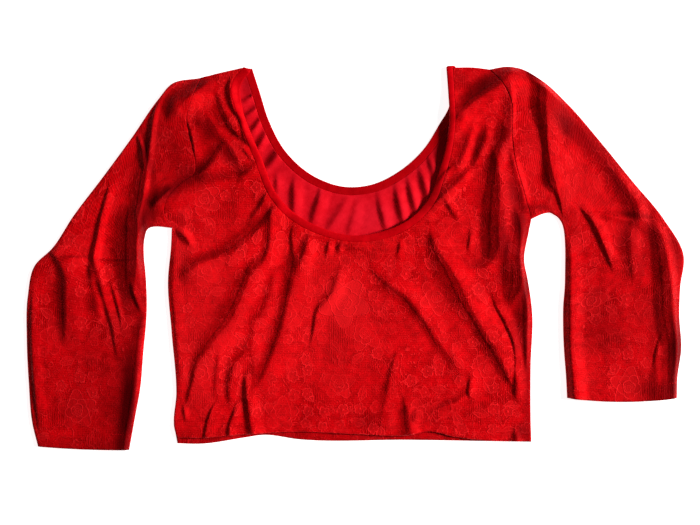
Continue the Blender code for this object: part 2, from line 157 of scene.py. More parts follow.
ARMHOLE_RIGHT: Rows = (
    (136, 193), (143.5, 185.5), (151.5, 174.5), (158, 160), (159, 126.5), (163, 96), (171, 68.5),
    (179, 40.5),
)
SHOULDER_RIGHT: Rows = ((136, 193), (121, 195), (101, 196))

# Middle line of the neck binding, columns x, y, width
BINDING_FRONT: Rows = (
    (-111, 192.3, 8), (-120, 181, 9.4), (-122.4, 171, 9.4), (-120.8, 162, 8.4), (-117, 147, 6.8),
    (-109, 125.5, 7), (-98.1, 98.9, 7.4), (-85.2, 66.8, 7.6), (-67.3, 45.9, 7.6), (-39.3, 29.6, 7.4),
    (-1.9, 20.5, 6.7), (29.1, 24.6, 7.6), (57.6, 37.9, 7.6), (77.5, 59.7, 7.6), (87.7, 86.2, 7.2),
    (95.3, 114.2, 6.8), (98.3, 141.8, 6), (97.6, 166.3, 6.2), (95.8, 194.8, 6.5),
)
BINDING_BACK: Rows = (
    (-109.1, 192.3), (-101.5, 168.6), (-92, 139.1), (-74.2, 106.7), (-43.4, 80.2), (-10.1, 69.4),
    (18.3, 72.1), (48.8, 87.4), (72.7, 109.5), (88.6, 134.6), (99.5, 155), (100.8, 168),
    (97.9, 194.8),
)

# Sleeve sections, columns outer x, outer y, inner x, inner y, from the armhole to the cuff
SECTIONS_LEFT: Rows = (
    (-157.5, 184.5, -187, 31.5), (-187, 178.5, -203, 33), (-201.5, 162, -210, 31.5),
    (-227, 125, -215, 20), (-257, 84, -215.5, 3), (-288, 43, -214, -13), (-309, 11, -213, -28),
    (-327, -7, -212.5, -42), (-334, -38, -213, -62), (-335, -81, -216, -94),
    (-333, -125, -219, -130), (-329, -169, -225, -164), (-323.5, -191, -230.5, -194.5),
)
SECTIONS_RIGHT: Rows = (
    (136, 193, 179, 40.5), (155.5, 196, 190, 45.5), (168, 194, 196, 47), (189, 182.5, 202, 45),
    (217, 157, 208, 40), (249.5, 119.5, 212, 30), (282, 79.5, 213.5, 12), (314.5, 40, 213.5, -10),
    (334.5, 3, 213, -30), (331, -28.5, 211.5, -50), (330, -58, 211.5, -72),
    (332, -91, 212.5, -95), (328, -121.5, 214.5, -121), (327.5, -141.5, 215.5, -141.5),
)


@dataclass(frozen=True)
class Fold:
    """One crease: a steep band up to a crest, then a long soft fall.

    Each station has the columns x, y, width of the steep band and rise. The crest lies on the left hand of
    someone who walks the stations, and runs out over the fall. With a softness of 0 the foot of the steep
    band is a sharp line, and with 1 it is eased over a share of the band's width.
    """

    name: str
    fall: float
    stations: Rows
    softness: float = 1.0


BODY_FOLDS = (
    Fold("neck to side", 22, (
        (-87, 55, 7, 0), (-90, 46, 9, 4), (-100, 35, 10, 5), (-121, 16, 12, 5.5), (-131, 9, 11, 5),
        (-144, 4, 9, 4.6), (-160, -2, 9, 4.6), (-173, -11, 9, 4), (-182, -18, 5, 0),
    )),
    Fold("long side", 26, (
        (-107, 0, 5, 0), (-111, -12, 9, 3.5), (-118, -30, 12, 5), (-127, -50, 13, 5.5), (-133, -61, 13, 5),
        (-147, -80, 10, 4), (-155, -92, 9, 3.5), (-163, -105, 7, 3), (-168, -125, 6, 2.6),
        (-172, -141, 5, 1.8), (-175, -151, 4, 0),
    )),
    Fold("second", 16, (
        (-86, 56, 4, 0), (-88, 44, 6, 2.6), (-89, 28, 7, 3), (-91, 12, 7, 3.4), (-96, 0, 8, 3.2),
        (-104, -9, 8, 2.6), (-109, -18, 6, 0),
    )),
    Fold("long middle", 28, (
        (-64, 38, 4, 0), (-66, 25, 4, 1.8), (-65, 10, 5, 2.2), (-64, -2, 9, 3.4), (-66, -14, 10, 4),
        (-69.5, -32, 9, 3.8), (-73, -50, 8, 3.5), (-79.5, -75, 8, 3.5), (-88, -98, 8, 3.4),
        (-97, -120, 8, 2.8), (-106, -136, 5, 0),
    )),
    Fold("neck gather 1", 14, (
        (-47, 28, 4, 0), (-51, 18, 7, 3.2), (-55, 5, 7, 3.2), (-59, -6, 7, 2), (-63, -16, 6, 0),
    )),
    Fold("neck gather 2", 8, ((-28, 20, 3, 0), (-29, 12, 4, 2.2), (-32, 1, 4, 0))),
    Fold("neck gather 3", 6, ((-17, 18, 4, 0), (-18, 13, 5, 2.5), (-20, 7, 4, 0))),
    Fold("neck gather 4", 8, ((44, 21, 3, 0), (44, 12, 4, 1.8), (41, 1, 3, 0))),
    Fold("neck edge", 5, ((24, 15, 3, 0), (8, 14, 4, 1.6), (-8, 14, 4, 1.8), (-16, 13, 3, 0))),
    Fold("faint middle", 14, (
        (-84, -9, 5, 0), (-88, -26, 7, 1.8), (-97, -50, 9, 2.2), (-106, -66, 8, 2), (-108, -88, 7, 1.3),
        (-106, -112, 7, 1), (-104, -140, 4, 0),
    )),
    Fold("middle left", 14, (
        (-15, -3, 5, 0), (-21.5, -23, 7, 2.4), (-28, -38, 7, 2.4), (-39.5, -52, 5, 2.2),
        (-43.5, -72, 3, 1.6), (-48, -95, 3, 0),
    )),
    Fold("middle right", 18, (
        (12, -3, 6, 0), (23, -19, 7, 2), (37, -31, 8, 2.5), (51, -42, 9, 3.6), (61, -54, 8, 3.6),
        (71, -67, 7, 2.6), (84, -88, 7, 1.8), (103, -113, 7, 1.2), (108, -126, 4, 0),
    )),
    Fold("right main", 26, (
        (75, 32, 5, 0), (77, 20, 7, 2.5), (84, 1, 11, 4.5), (90, -9, 13, 5.5), (98.5, -26, 16, 6.5),
        (106.5, -42, 15, 6), (118.5, -60, 10, 5), (132.5, -83, 10, 5), (145, -103, 9, 4.5),
        (153, -118, 7, 3.5), (160, -133, 4, 0),
    )),
    Fold("underarm upper", 22, (
        (139, 112, 3, 0), (142, 100, 8, 3), (141, 81, 13, 4.6), (139, 62, 18, 5.8), (137, 30, 19, 6),
        (137, 9, 18, 5.4), (134, -4, 8, 0),
    ), 0.1),
    Fold("underarm middle", 12, (
        (160, 54, 6, 0), (163, 40, 11, 3.4), (162, 20, 15, 4.6), (160, 4, 18, 5.4), (160, -11, 21, 6),
        (160, -25, 20, 5.6), (157, -39, 13, 3), (156, -50, 5, 0),
    ), 0.1),
    Fold("underarm lower", 8, (
        (168, -24, 6, 0), (170, -38, 9, 3.6), (172, -52, 9, 4), (172, -70, 8, 3.4), (174, -103, 5, 2),
        (175, -118, 3, 0),
    )),
    Fold("right side", 12, (
        (137, -31, 2, 0), (144, -49, 2.5, 1.6), (154, -68, 3, 2.2), (161, -86, 3, 2.2),
        (163, -102, 2.5, 1.2), (163, -117, 3, 1.4), (163, -128, 6, 2.8), (163, -139, 5, 2),
        (164, -146, 3, 0),
    )),
    Fold("underarm foot", 10, ((141, -1, 5, 0), (133, -5, 8, 2.5), (123, -7, 7, 2), (113, -8, 5, 0))),
    Fold("hem short", 8, ((117, -117, 3, 0), (115.5, -130, 4, 1.8), (115, -137, 4, 2), (118, -145, 3, 0))),
    Fold("hem slant", 8, ((112, -138, 4, 0), (101, -145, 6, 2.5), (92, -148, 6, 2.2), (77, -155, 4, 0))),
    Fold("hem right", 20, (
        (43, -91, 4, 0), (38, -105, 5, 1.4), (33, -124, 6, 1.8), (30, -141, 7, 1.6), (26, -160, 5, 0.6),
        (24, -181, 4, 0),
    )),
    Fold("hem valley 1", 12, (
        (48, -140, 3, 0), (50, -152, 7, 2.6), (51, -166, 9, 3.2), (53, -182, 10, 3.4),
    )),
    Fold("hem valley 2", 8, ((61, -152, 3, 0), (60, -159, 6, 2), (57, -167, 5, 0))),
    Fold("hem pleat", 15, (
        (-114, -117, 2, 0), (-113, -128, 3, 2.4), (-112, -145, 4.5, 3.4), (-110.5, -160, 5.5, 3.4),
        (-108, -180, 7, 3.4),
    )),
    Fold("hem roll 1", 14, (
        (-143, -144, 2, 0), (-148, -155, 2.5, 1.5), (-153, -171, 2.5, 1.8), (-155, -184, 2.5, 1.8),
    )),
    Fold("hem roll 2", 9, (
        (-121, -146, 2, 0), (-125, -157, 3, 1.6), (-130, -172, 4, 2), (-131, -182, 4, 2),
    )),
    Fold("hem corner", 6, ((-178, -149, 3, 0), (-176, -157, 3, 1.5), (-175, -167, 2, 0))),
    Fold("hem end", 6, ((162, -172, 3, 0), (162, -180, 6, 2.4), (162, -187, 8, 3))),
    Fold("left lower 1", 10, (
        (-140, -90, 4, 0), (-142, -104, 5, 1.2), (-144, -123, 5, 1.2), (-145, -143, 3, 0),
    )),
    Fold("left lower 2", 12, (
        (-108, -75, 5, 0), (-116, -94, 8, 1.6), (-124, -105, 8, 2), (-129, -117, 7, 2), (-131, -127, 6, 1.8),
        (-131, -139, 6, 1.6), (-130, -151, 4, 0),
    )),
    Fold("left underarm", 8, ((-185, 28, 3, 0), (-178, 23.5, 6, 3.5), (-173, 18, 6, 3), (-170, 12, 3, 0))),
    Fold("left side roll", 14, (
        (-185, 23, 4, 0), (-188, 1, 3, 1.4), (-190, -24, 4, 1.6), (-187, -54, 4, 1.4), (-183, -115, 3, 1.2),
        (-181, -144, 3, 0),
    )),
    Fold("right strap", 22, (
        (155, 193, 10, 4), (147, 185, 13, 6), (136, 177, 13, 7), (125, 169, 11, 6.5), (115, 161, 10, 6),
        (107, 151, 8, 3.6), (101, 142, 6, 1.4), (97, 134, 4, 0),
    )),
    Fold("right armhole", 4, (
        (156, 186, 4, 0), (156.5, 170, 8, 2.2), (156.5, 142, 8, 1.8), (155, 125, 7, 1.6), (153, 113, 4, 0),
    )),
    Fold("right chest 1", 8, ((116, 151, 4, 0), (109, 145, 6, 2), (103, 138, 5, 0))),
    Fold("right chest 2", 9, (
        (119, 138, 5, 0), (113.5, 124, 8, 3), (108, 108, 8, 3), (101, 93, 7, 2), (94, 84, 4, 0),
    )),
    Fold("right chest 8", 9, ((134, 141, 4, 0), (130.5, 125, 8, 3), (124, 108, 8, 3), (118, 94, 5, 0))),
    Fold("right chest 3", 12, (
        (150, 148, 5, 0), (149, 128, 10, 3.2), (141, 108, 12, 3.4), (136, 88, 8, 1.6), (132, 70, 4, 0),
    )),
    Fold("right chest 4", 10, (
        (118, 95, 4, 0), (111, 89, 7, 3.2), (102, 79.5, 8, 3.6), (93, 70.5, 7, 3.2), (83, 60, 5, 1.8),
        (76, 52, 4, 0),
    )),
    Fold("right chest 5", 7, ((104, 99, 3, 0), (97, 94, 4, 1.8), (90, 87, 4, 2), (81, 76, 3, 0))),
    Fold("right chest 6", 8, ((88, 64, 3, 0), (93, 56, 5, 2), (99, 47, 5, 1.8), (104, 38, 4, 0))),
    Fold("right chest 7", 8, ((117, 34, 3, 0), (116, 19, 4, 1.6), (114, 6, 3, 0))),
    Fold("right armpit", 6, ((197, 49, 4, 0), (188, 52, 6, 2.5), (177, 53, 6, 2.5), (162, 51, 4, 0))),
    Fold("right by seam", 8, (
        (157, 111, 3, 0), (160, 96, 7, 2.6), (163, 80, 9, 3), (167, 65, 10, 3), (169, 50, 7, 0),
    )),
    Fold("left shoulder", 16, (
        (-148, 186, 5, 0), (-160, 178, 10, 4.5), (-172, 170, 12, 6), (-181, 161, 11, 5), (-186, 148, 8, 2),
        (-187, 138, 5, 0),
    )),
    Fold("left armhole", 8, (
        (-174, 146, 1.5, 0), (-170.5, 135, 1.6, 1.1), (-166, 114, 1.6, 1.1), (-163.5, 98, 1.5, 0),
    )),
    Fold("left strap outer", 12, (
        (-145, 176, 3, 0), (-142, 165, 6, 2), (-138, 150, 9, 3.6), (-133, 140, 9, 4.6), (-127, 132, 7, 4),
        (-120, 125, 5, 2.5), (-114, 120, 3, 0),
    )),
    Fold("left strap inner", 8, (
        (-128, 187, 3, 0), (-130, 178, 5, 3), (-130, 168, 6, 3.8), (-128, 158, 6, 4), (-124, 150, 5, 3.4),
        (-119, 142, 5, 2.6), (-116, 131, 5, 2.2), (-113, 121, 5, 1.8), (-109, 114, 3, 0),
    )),
    Fold("left neck 1", 6, ((-119, 115, 3, 0), (-113, 109, 4, 2), (-106, 100, 3, 0))),
    Fold("left neck 2", 10, ((-99, 97, 5, 0), (-107, 93, 8, 3.2), (-116, 88, 8, 3), (-124, 83, 4, 0))),
    Fold("left neck 3", 10, (
        (-91, 70, 4, 0), (-95, 61, 6, 2.6), (-100, 53, 6, 2.4), (-106, 45, 6, 1.8), (-112, 34, 5, 0),
    )),
    Fold("left arch outer", 20, (
        (-131, 123, 5, 0), (-137, 118, 8, 2.8), (-143, 110.5, 9, 3.8), (-148.5, 101.5, 9, 3.8),
        (-156, 93, 8, 3.2), (-167, 86, 6, 0),
    )),
    Fold("left arch inner", 16, (
        (-141, 123, 5, 0), (-133, 116, 9, 3.6), (-127, 106, 10, 3.8), (-121, 95, 7, 1.6), (-118, 88, 4, 0),
    )),
    Fold("left chest 1", 16, (
        (-158, 152, 6, 0), (-151, 138, 12, 2.4), (-144, 126, 12, 2.4), (-138, 118, 6, 0),
    )),
    Fold("left chest 2", 14, ((-165, 150, 5, 0), (-161, 139, 9, 1.6), (-156, 130, 8, 0))),
)
SLEEVE_FOLDS = (
    Fold("left top ridge", 5, (
        (-198, 172, 2, 0), (-204.5, 157, 3, 2.2), (-209, 142, 6, 3.2), (-211.5, 121, 6, 3.6),
        (-215.5, 101, 9, 3.6), (-219.5, 81, 11, 3.6), (-222.5, 61, 11, 3.4), (-224.5, 48, 10, 2.5),
        (-225, 37, 6, 0),
    )),
    Fold("left ridge foot", 4, (
        (-226, 131, 2, 0), (-221, 116, 5, 2.4), (-219, 103, 5, 2.4), (-218, 91, 4, 0),
    )),
    Fold("left ridge top", 10, (
        (-186, 170, 5, 0), (-189, 159, 9, 3), (-192, 147, 7, 2), (-194, 137, 4, 0),
    )),
    Fold("left broad", 16, (
        (-232, 58, 12, 0), (-233, 44, 22, 6.5), (-234, 20, 24, 8.5), (-234, -5, 23, 8), (-234, -20, 20, 6),
        (-233, -34, 15, 3.5), (-232, -46, 10, 0),
    ), 0.4),
    Fold("left forearm", 9, (
        (-252, 80, 2, 0), (-256.5, 60, 2.5, 2), (-261, 44, 3, 2.5), (-266, 19, 4, 3.2), (-269.5, 1, 5, 3.4),
        (-267, -10, 6, 2.7), (-262, -29, 5.5, 2.5), (-256, -50, 5, 2.1), (-250, -70, 5, 1.7),
        (-246, -93, 4, 1.1), (-243, -105, 3, 0),
    )),
    Fold("left fork", 8, ((-272, 3, 3, 0), (-273, -8, 5, 1.8), (-272, -22, 6, 1.6), (-268, -38, 4, 0))),
    Fold("left elbow", 24, (
        (-317, 10, 3, 0), (-310, 3, 5, 2.4), (-303.5, -7, 7, 3.6), (-300, -18, 9, 4.6), (-299, -42, 9, 4),
        (-299, -67, 8, 2.8), (-300, -92, 5, 0),
    )),
    Fold("left elbow cross 1", 10, (
        (-271, -1, 3, 0), (-283, 1, 3, 1.5), (-295, 3, 3, 1.2), (-304, 4, 2, 0),
    )),
    Fold("left elbow cross 2", 8, (
        (-224, 0, 2, 0), (-240, 0, 3, 1.3), (-254, 1, 3, 1.3), (-267, 2, 2, 0),
    )),
    Fold("left forearm 2", 5, (
        (-252, -21, 2, 0), (-247, -38, 3, 1.5), (-243, -52, 3, 1.6), (-239, -78, 3, 0),
    )),
    Fold("left flap", 6, ((-231, -22, 2, 0), (-228, -33, 4, 2), (-224, -46, 5, 2.4), (-219, -58, 3, 0))),
    Fold("left inner edge", 9, (
        (-218, -56, 3, 0), (-220, -66, 8, 2.4), (-224, -93, 10, 3.2), (-228, -123, 11, 3.6),
        (-231.5, -154, 11, 3.6), (-234.5, -172, 12, 3.6), (-238.5, -200, 13, 3.6),
    )),
    Fold("left patch", 8, ((-271, -34, 5, 0), (-268, -47, 10, 2.4), (-266, -60, 6, 0))),
    Fold("left outline", 12, (
        (-331, -16, 3, 0), (-333, -72, 4, 2.2), (-329, -139, 4, 2.2), (-324, -185, 4, 0),
    )),
    Fold("left armpit", 10, ((-187, 77, 5, 0), (-197, 69, 9, 3.4), (-206, 61, 10, 4), (-213, 53, 8, 0))),
    Fold("right deep", 34, (
        (176, 192, 5, 1.5), (184, 185, 11, 4.2), (187, 175, 16, 6.4), (187, 160, 16, 7.2),
        (188.5, 148, 14, 6.8), (192, 134, 9, 5.6), (194, 121, 6, 4.6), (195.5, 103, 7, 4.6),
        (197, 84, 12, 5.5), (200, 75, 12, 5), (206, 66, 4, 2.6), (210, 54, 3, 1.6), (212, 44, 2, 0),
    ), 0.2),
    Fold("right outer upper", 14, (
        (218, 146, 8, 0), (230, 127, 10, 0.8), (244, 105, 12, 1.2), (260, 87, 12, 1.8), (275, 67, 12, 3.2),
        (282, 57, 12, 4), (285, 45, 12, 4), (286, 30, 8, 0),
    )),
    Fold("right elbow", 12, (
        (228, 54, 2, 0), (234.5, 47, 3.5, 2), (242, 37, 4.5, 3.2), (248.5, 23, 5, 3.4), (255, 8, 4.5, 3),
        (259.5, -3, 3.5, 2), (263.5, -14, 2, 0),
    )),
    Fold("right elbow cross", 8, ((293, 37, 2, 0), (272, 43, 3, 2.4), (254, 47, 3, 2.4), (238, 50, 2, 0))),
    Fold("right curve", 14, (
        (282, 44, 4, 0), (278, 24, 9, 2), (278, 8, 9, 2), (281, -8, 7, 1.8), (284, -26, 3, 0),
    )),
    Fold("right outer lower", 10, (
        (302, 46, 6, 0), (305.5, 28, 12, 2), (310, 6, 16, 4.2), (312, -12, 18, 5), (313.5, -32, 19, 5.4),
        (314.5, -54, 19, 5.4), (318, -76, 18, 5), (320.5, -90, 15, 4.4), (320.5, -102, 15, 4.2),
        (320, -124, 16, 4.2), (319, -144, 16, 4),
    ), 0.15),
    Fold("right outer branch", 12, (
        (314, -74, 3, 0), (309, -88, 2.5, 1.2), (306, -103, 3.5, 1.4), (306, -120, 8, 1.4),
        (306, -144, 12, 1.4),
    )),
    Fold("right inner edge", 16, (
        (216, 26, 3, 0), (216, 7, 4, 2.2), (216.5, -32, 6.5, 3.6), (216.5, -62, 8.5, 4.2),
        (216.5, -88, 8, 4), (218.5, -118, 9, 4.4), (220, -144, 9, 4.4),
    )),
)

# Patches and thin lines of painted shade, and of painted light where the strength is below 0, columns x, y,
# half width, half length, lean in degrees and strength
LIGHT_AND_SHADE_PATCHES: Rows = (
    # Sleeve on the left
    (-227, 0, 12, 62, 0, 0.5), (-211, 42, 9, 28, 0, 0.6), (-229, -130, 12, 80, -6, 0.5),
    (-211, 100, 8, 60, -12, 0.3), (-240, -62, 9, 36, 0, 0.3), (-290, -110, 60, 90, 0, 0.12),
    (-262, -120, 34, 80, 4, 0.26), (-292, -40, 16, 44, 0, 0.28), (-328, -100, 7, 100, 4, 0.3),
    (-278, -190, 60, 9, -2, 0.3), (-196, 112, 22, 44, 8, 0.3), (-198, 58, 10, 32, -38, 0.55),
    (-217, 122, 4, 26, 9, 0.5), (-230, 88, 12, 20, 0, 0.35), (-215, -10, 6, 60, 0, 0.5),
    (-206, 84, 4, 26, 9, 0.5), (-228, -50, 10, 12, 30, 0.4), (-240, -156, 22, 44, -4, 0.35),
    (-313, 5, 7, 6, 30, 0.4), (-269, -13, 4, 9, 0, 0.5), (-286, 2.5, 17, 1.5, 0, 0.5),
    (-246, -1, 20, 1.5, 0, 0.5), (-288, 12, 15, 7, 0, -0.3), (-236, -100, 8, 20, 0, 0.3),
    (-285, -150, 50, 50, 0, 0.12), (-190, 110, 22, 40, 0, 0.1),
    # Body, left of the neck
    (-150, 100, 30, 20, 0, 0.18), (-155, 92, 22, 8, 30, 0.25), (-172, 128, 26, 30, 0, 0.25),
    (-168, 171, 30, 9, 20, 0.35), (-146, 130, 14, 16, 20, 0.3), (-168, 90, 16, 10, 20, 0.3),
    (-130, 104, 10, 12, 0, 0.2), (-129, 154, 5, 20, 24, 0.3), (-88, 54, 9, 10, 30, 0.35),
    (-148, 4, 20, 6, 20, 0.6), (-112, 176, 7, 14, 0, 0.8), (-122, 112, 12, 16, 10, 0.35),
    (-157, 181, 18, 6, 12, 0.35), (-178, 74, 22, 7, 35, 0.55), (-160, -138, 7, 14, 0, -0.25),
    (-143, 83, 26, 6, 12, 0.6), (-173, 46, 14, 8, -20, -0.3), (-152, 173, 12, 5, 0, 0.3),
    (-178, 0, 12, 24, 0, -0.3), (-178, 20, 14, 20, 0, -0.3), (-150, 158, 16, 9, 0, -0.3),
    (-156, 112, 6, 16, 0, -0.2), (-162, -70, 34, 90, 0, -0.38), (-112, -52, 34, 110, 14, -0.22),
    # Body, below the neck
    (-34, 20, 24, 5, -15, 0.3), (-46, -158, 12, 10, 0, 0.35), (12, -164, 18, 10, 0, 0.4),
    (-14, 14, 4, 5, 0, 0.5), (-52, 9, 5, 12, 10, 0.25), (-52, 8, 5, 14, 10, 0.25), (36, -168, 7, 8, 0, -0.4),
    (-8, -60, 60, 90, 0, -0.16), (-38, -50, 40, 80, 0, -0.2), (-8, -44, 30, 30, 0, -0.2),
    (37, -16, 12, 14, 0, 0.4), (60, -160, 8, 24, 0, 0.25), (82, -167, 6, 8, 0, 0.35),
    # Body, right of the neck
    (124, 172, 9, 34, -49, 0.4), (110, 184, 16, 10, 0, 0.25), (149, 22, 5, 44, 0, 0.3),
    (168, 42, 10, 28, 16, 0.5), (172, -176, 8, 10, 0, 0.4), (176, -110, 6, 90, 0, 0.5),
    (140, 30, 22, 50, 0, 0.18), (124, 116, 4, 14, -14, 0.4), (149, 112, 6, 22, 0, 0.4),
    (151, 14, 7, 22, 0, 0.5), (158, 68, 5, 14, 0, 0.3), (157, 124, 5, 26, 3, 0.5), (127, 64, 6, 8, 0, 0.35),
    (147, -21, 5, 10, 0, 0.35), (166, -177, 5, 10, 0, 0.5), (163, -74, 6, 26, 0, 0.45),
    (174, -31, 4, 14, 0, 0.5), (115, -4, 8, 8, 0, 0.4), (127, -32, 8, 12, 0, 0.35),
    (80, 70, 7, 30, -26, 1.0), (76, 60, 8, 18, -40, 0.25), (170, -60, 12, 110, 0, 0.22),
    (170, 5, 8, 55, 0, 0.4), (140, 180, 26, 12, 20, 0.35), (132, 66, 6, 80, 0, 0.1),
    (98, -60, 60, 40, -30, -0.15),
    # Sleeve on the right
    (286, 18, 10, 34, 0, 0.3), (298, -90, 14, 60, 0, 0.2), (208, 150, 11, 30, 20, 0.45),
    (325, 10, 8, 30, 10, 0.3), (234, -72, 14, 24, 0, 0.22), (194, 84, 6, 14, -20, 0.3),
    (326, -95, 8, 60, 0, 0.8), (306, -136, 22, 14, 0, 0.35), (249, 105, 14, 68, 43, 0.5),
    (172, 190, 22, 6, -22, 0.4), (294, -5, 9, 12, 0, 0.3), (180, 120, 12, 26, 0, -0.2),
    (174, 172, 6, 8, 0, -0.25), (236, 122, 12, 34, 40, 0.4), (268, 70, 6, 24, 23, 0.4),
    (270, 46, 30, 3.5, -6, 0.45), (327, -6, 7, 26, 0, 0.25), (305, -66, 7, 30, 0, 0.35),
    (330, -90, 4, 26, 0, 0.4), (190, 52, 8, 4, 0, 0.5), (182, 188, 14, 4, -25, 0.45),
    (213, 128, 6, 16, 15, 0.35), (300, 22, 8, 24, 0, 0.3), (270, 26, 8, 16, 0, 0.25),
    (246, -37, 12, 10, 0, 0.25), (178, 96, 12, 30, 0, -0.2), (240, -118, 14, 16, 0, -0.35),
    (174, 165, 8, 14, 0, -0.25), (262, -66, 34, 62, 0, 0.24), (318, -60, 14, 90, 0, 0.15),
    (276, 30, 10, 36, 0, 0.2), (302, 22, 9, 40, 10, 0.3), (256, -74, 18, 24, 0, 0.2),
    (234, 84, 30, 50, 40, -0.35),
)

# The same for the inner back
BACK_LIGHT_AND_SHADE_PATCHES: Rows = (
    (-98, 150, 5, 44, 18, 0.15), (-82, 100, 8, 12, 30, 0.3), (94, 128, 10, 44, -22, 0.7),
    (20, 42, 40, 16, 0, -0.25), (-110, 178, 6, 13, 0, 0.6),
)

# Ribs of the inner back between its own binding and the front one
NECK_RIBS = (
    Fold("rib 0", 5, ((-103, 172, 3, 0), (-107, 168, 5, 2.6), (-112, 165, 5, 2.6), (-118, 162, 4, 0)), 0.3),
    Fold("rib 1", 6, ((-99, 159, 4, 0), (-104, 155, 6, 3.2), (-110, 150, 6, 3), (-117, 147, 4, 0)), 0.3),
    Fold("rib 2", 6, ((-97, 146, 4, 0), (-101, 141, 6, 3.2), (-106, 134, 6, 3), (-111, 129, 4, 0)), 0.3),
    Fold("rib 3", 7, ((-93, 132, 4, 0), (-96, 126, 7, 3.4), (-101, 117, 7, 3), (-106, 110, 4, 0)), 0.3),
    Fold("rib 4", 8, ((-80, 116, 4, 0), (-84, 107, 9, 3.8), (-90, 99, 8, 3.2), (-96, 92, 4, 0)), 0.3),
    Fold("rib 5", 9, ((-82, 89, 3, 0), (-82, 78, 4, 2), (-81, 64, 3, 0))),
    Fold("rib 6", 12, ((-64, 87, 3, 0), (-65, 70, 5.5, 2.8), (-65, 54, 6, 2.8), (-65, 40, 4, 0))),
    Fold("rib 7", 13, ((-36, 76, 3, 0), (-39, 63, 5, 2.6), (-44, 47, 6, 2.8), (-48, 30, 4, 0))),
    Fold("rib 8", 14, ((-9, 68, 4, 0), (-16, 53, 7, 1.5), (-27, 36, 6, 1.5), (-34, 21, 4, 0)), 0.8),
    Fold("rib 9", 13, ((3, 66, 4, 0), (-2, 51, 6, 1.3), (-7, 34, 5, 1.2), (-10, 19, 4, 0)), 0.8),
    Fold("rib 10", 12, ((21, 70, 4, 0), (24, 54, 5, 2.2), (28, 37, 5, 2.2), (32, 21, 4, 0)), 0.5),
    Fold("rib 11", 11, ((39, 79, 3, 0), (42, 62, 5, 2.8), (46, 44, 5.5, 2.8), (52, 28, 4, 0))),
    Fold("rib 12", 10, ((52, 86, 3, 0), (55, 70, 5, 2.8), (59, 53, 6, 2.8), (64, 38, 4, 0))),
    Fold("rib 13", 9, ((64, 96, 3, 0), (67, 83, 6, 2.8), (71, 67, 6, 2.8), (75, 54, 4, 0))),
    Fold("rib 14", 8, ((73, 106, 3, 0), (76, 96, 5, 2.4), (79, 83, 4, 0))),
)


def lengths(vectors: np.ndarray) -> np.ndarray:
    """Length of each vector in plan, from its first two columns."""
    return np.hypot(vectors[..., 0], vectors[..., 1])


def distances_along(line: np.ndarray) -> np.ndarray:
    """Distance in plan from the start of a line to each of its points."""
    return np.concatenate([[0.0], np.cumsum(lengths(np.diff(line, axis=0)))])


def smooth_curve(rows: Rows | np.ndarray, step: float = CURVE_STEP) -> np.ndarray:
    """Even points on a smooth curve through the rows.

    Args:
        rows: points in order; columns after x and y follow along.
        step: distance between the points returned.

    Returns:
        One row for each point, with the columns of the rows.
    """
    rows = np.asarray(rows, float)
    knots = distances_along(rows)
    slopes = np.gradient(rows, knots, axis=0)
    along = np.linspace(0.0, knots[-1], max(2, round(knots[-1] / step) + 1))
    first = np.clip(np.searchsorted(knots, along, side="right") - 1, 0, len(knots) - 2)
    span = (knots[first + 1] - knots[first])[:, None]
    f = (along - knots[first])[:, None] / span
    keep = 2 * f**3 - 3 * f**2 + 1
    lead = (f**3 - 2 * f**2 + f) * span
    arrive = (f**3 - f**2) * span
    places = keep * rows[first] + (1 - keep) * rows[first + 1]
    return places + lead * slopes[first] + arrive * slopes[first + 1]


def left_normals(line: np.ndarray) -> np.ndarray:
    """Unit vectors to the left hand of someone who walks the line."""
    along = np.gradient(line[:, :2], axis=0)
    along /= lengths(along)[:, None]
    return np.column_stack([-along[:, 1], along[:, 0]])


def smoothstep(value: np.ndarray | float) -> np.ndarray:
    """A soft step from 0 at 0 to 1 at 1."""
    value = np.clip(value, 0.0, 1.0)
    return value * value * (3 - 2 * value)


def dome(value: np.ndarray) -> np.ndarray:
    """A quarter circle from 0 at 0 to 1 at 1."""
    return np.sqrt(1 - (1 - np.clip(value, 0.0, 1.0)) ** 2)


def distance_to(points: np.ndarray, line: np.ndarray, reach: float = FAR) -> np.ndarray:
    """Distance from each point to a line.

    Args:
        points: places on the cloth.
        line: points in order.
        reach: the largest distance that matters, which every farther point gets.

    Returns:
        One distance for each point.
    """
    nearest = np.full(len(points), float(reach))
    run_length = 12
    for first in range(0, len(line) - 1, run_length):
        part = line[first:first + run_length + 1, :2]
        low, high = part.min(axis=0) - reach, part.max(axis=0) + reach
        near = np.flatnonzero(((points > low) & (points < high)).all(axis=1))
        run = np.diff(part, axis=0)
        offset = points[near, None, :] - part[:-1]
        share = np.clip((offset * run).sum(2) / (run**2).sum(1), 0.0, 1.0)
        offset -= share[..., None] * run
        nearest[near] = np.minimum(nearest[near], np.sqrt((offset**2).sum(2)).min(axis=1))
    return nearest


def inside(points: np.ndarray, outline: np.ndarray) -> np.ndarray:
    """Which points an outline holds, by the crossings of a ray to the right."""
    x0, y0 = outline.T
    x1, y1 = np.roll(outline, -1, axis=0).T
    rise = np.where(y1 == y0, 1.0, y1 - y0)
    held = np.empty(len(points), bool)
    block = 8000
    for first in range(0, len(points), block):
        x, y = points[first:first + block, None, 0], points[first:first + block, None, 1]
        crossing = x0 + (y - y0) * (x1 - x0) / rise
        held[first:first + block] = (((y0 > y) != (y1 > y)) & (x < crossing)).sum(axis=1) % 2 == 1
    return held


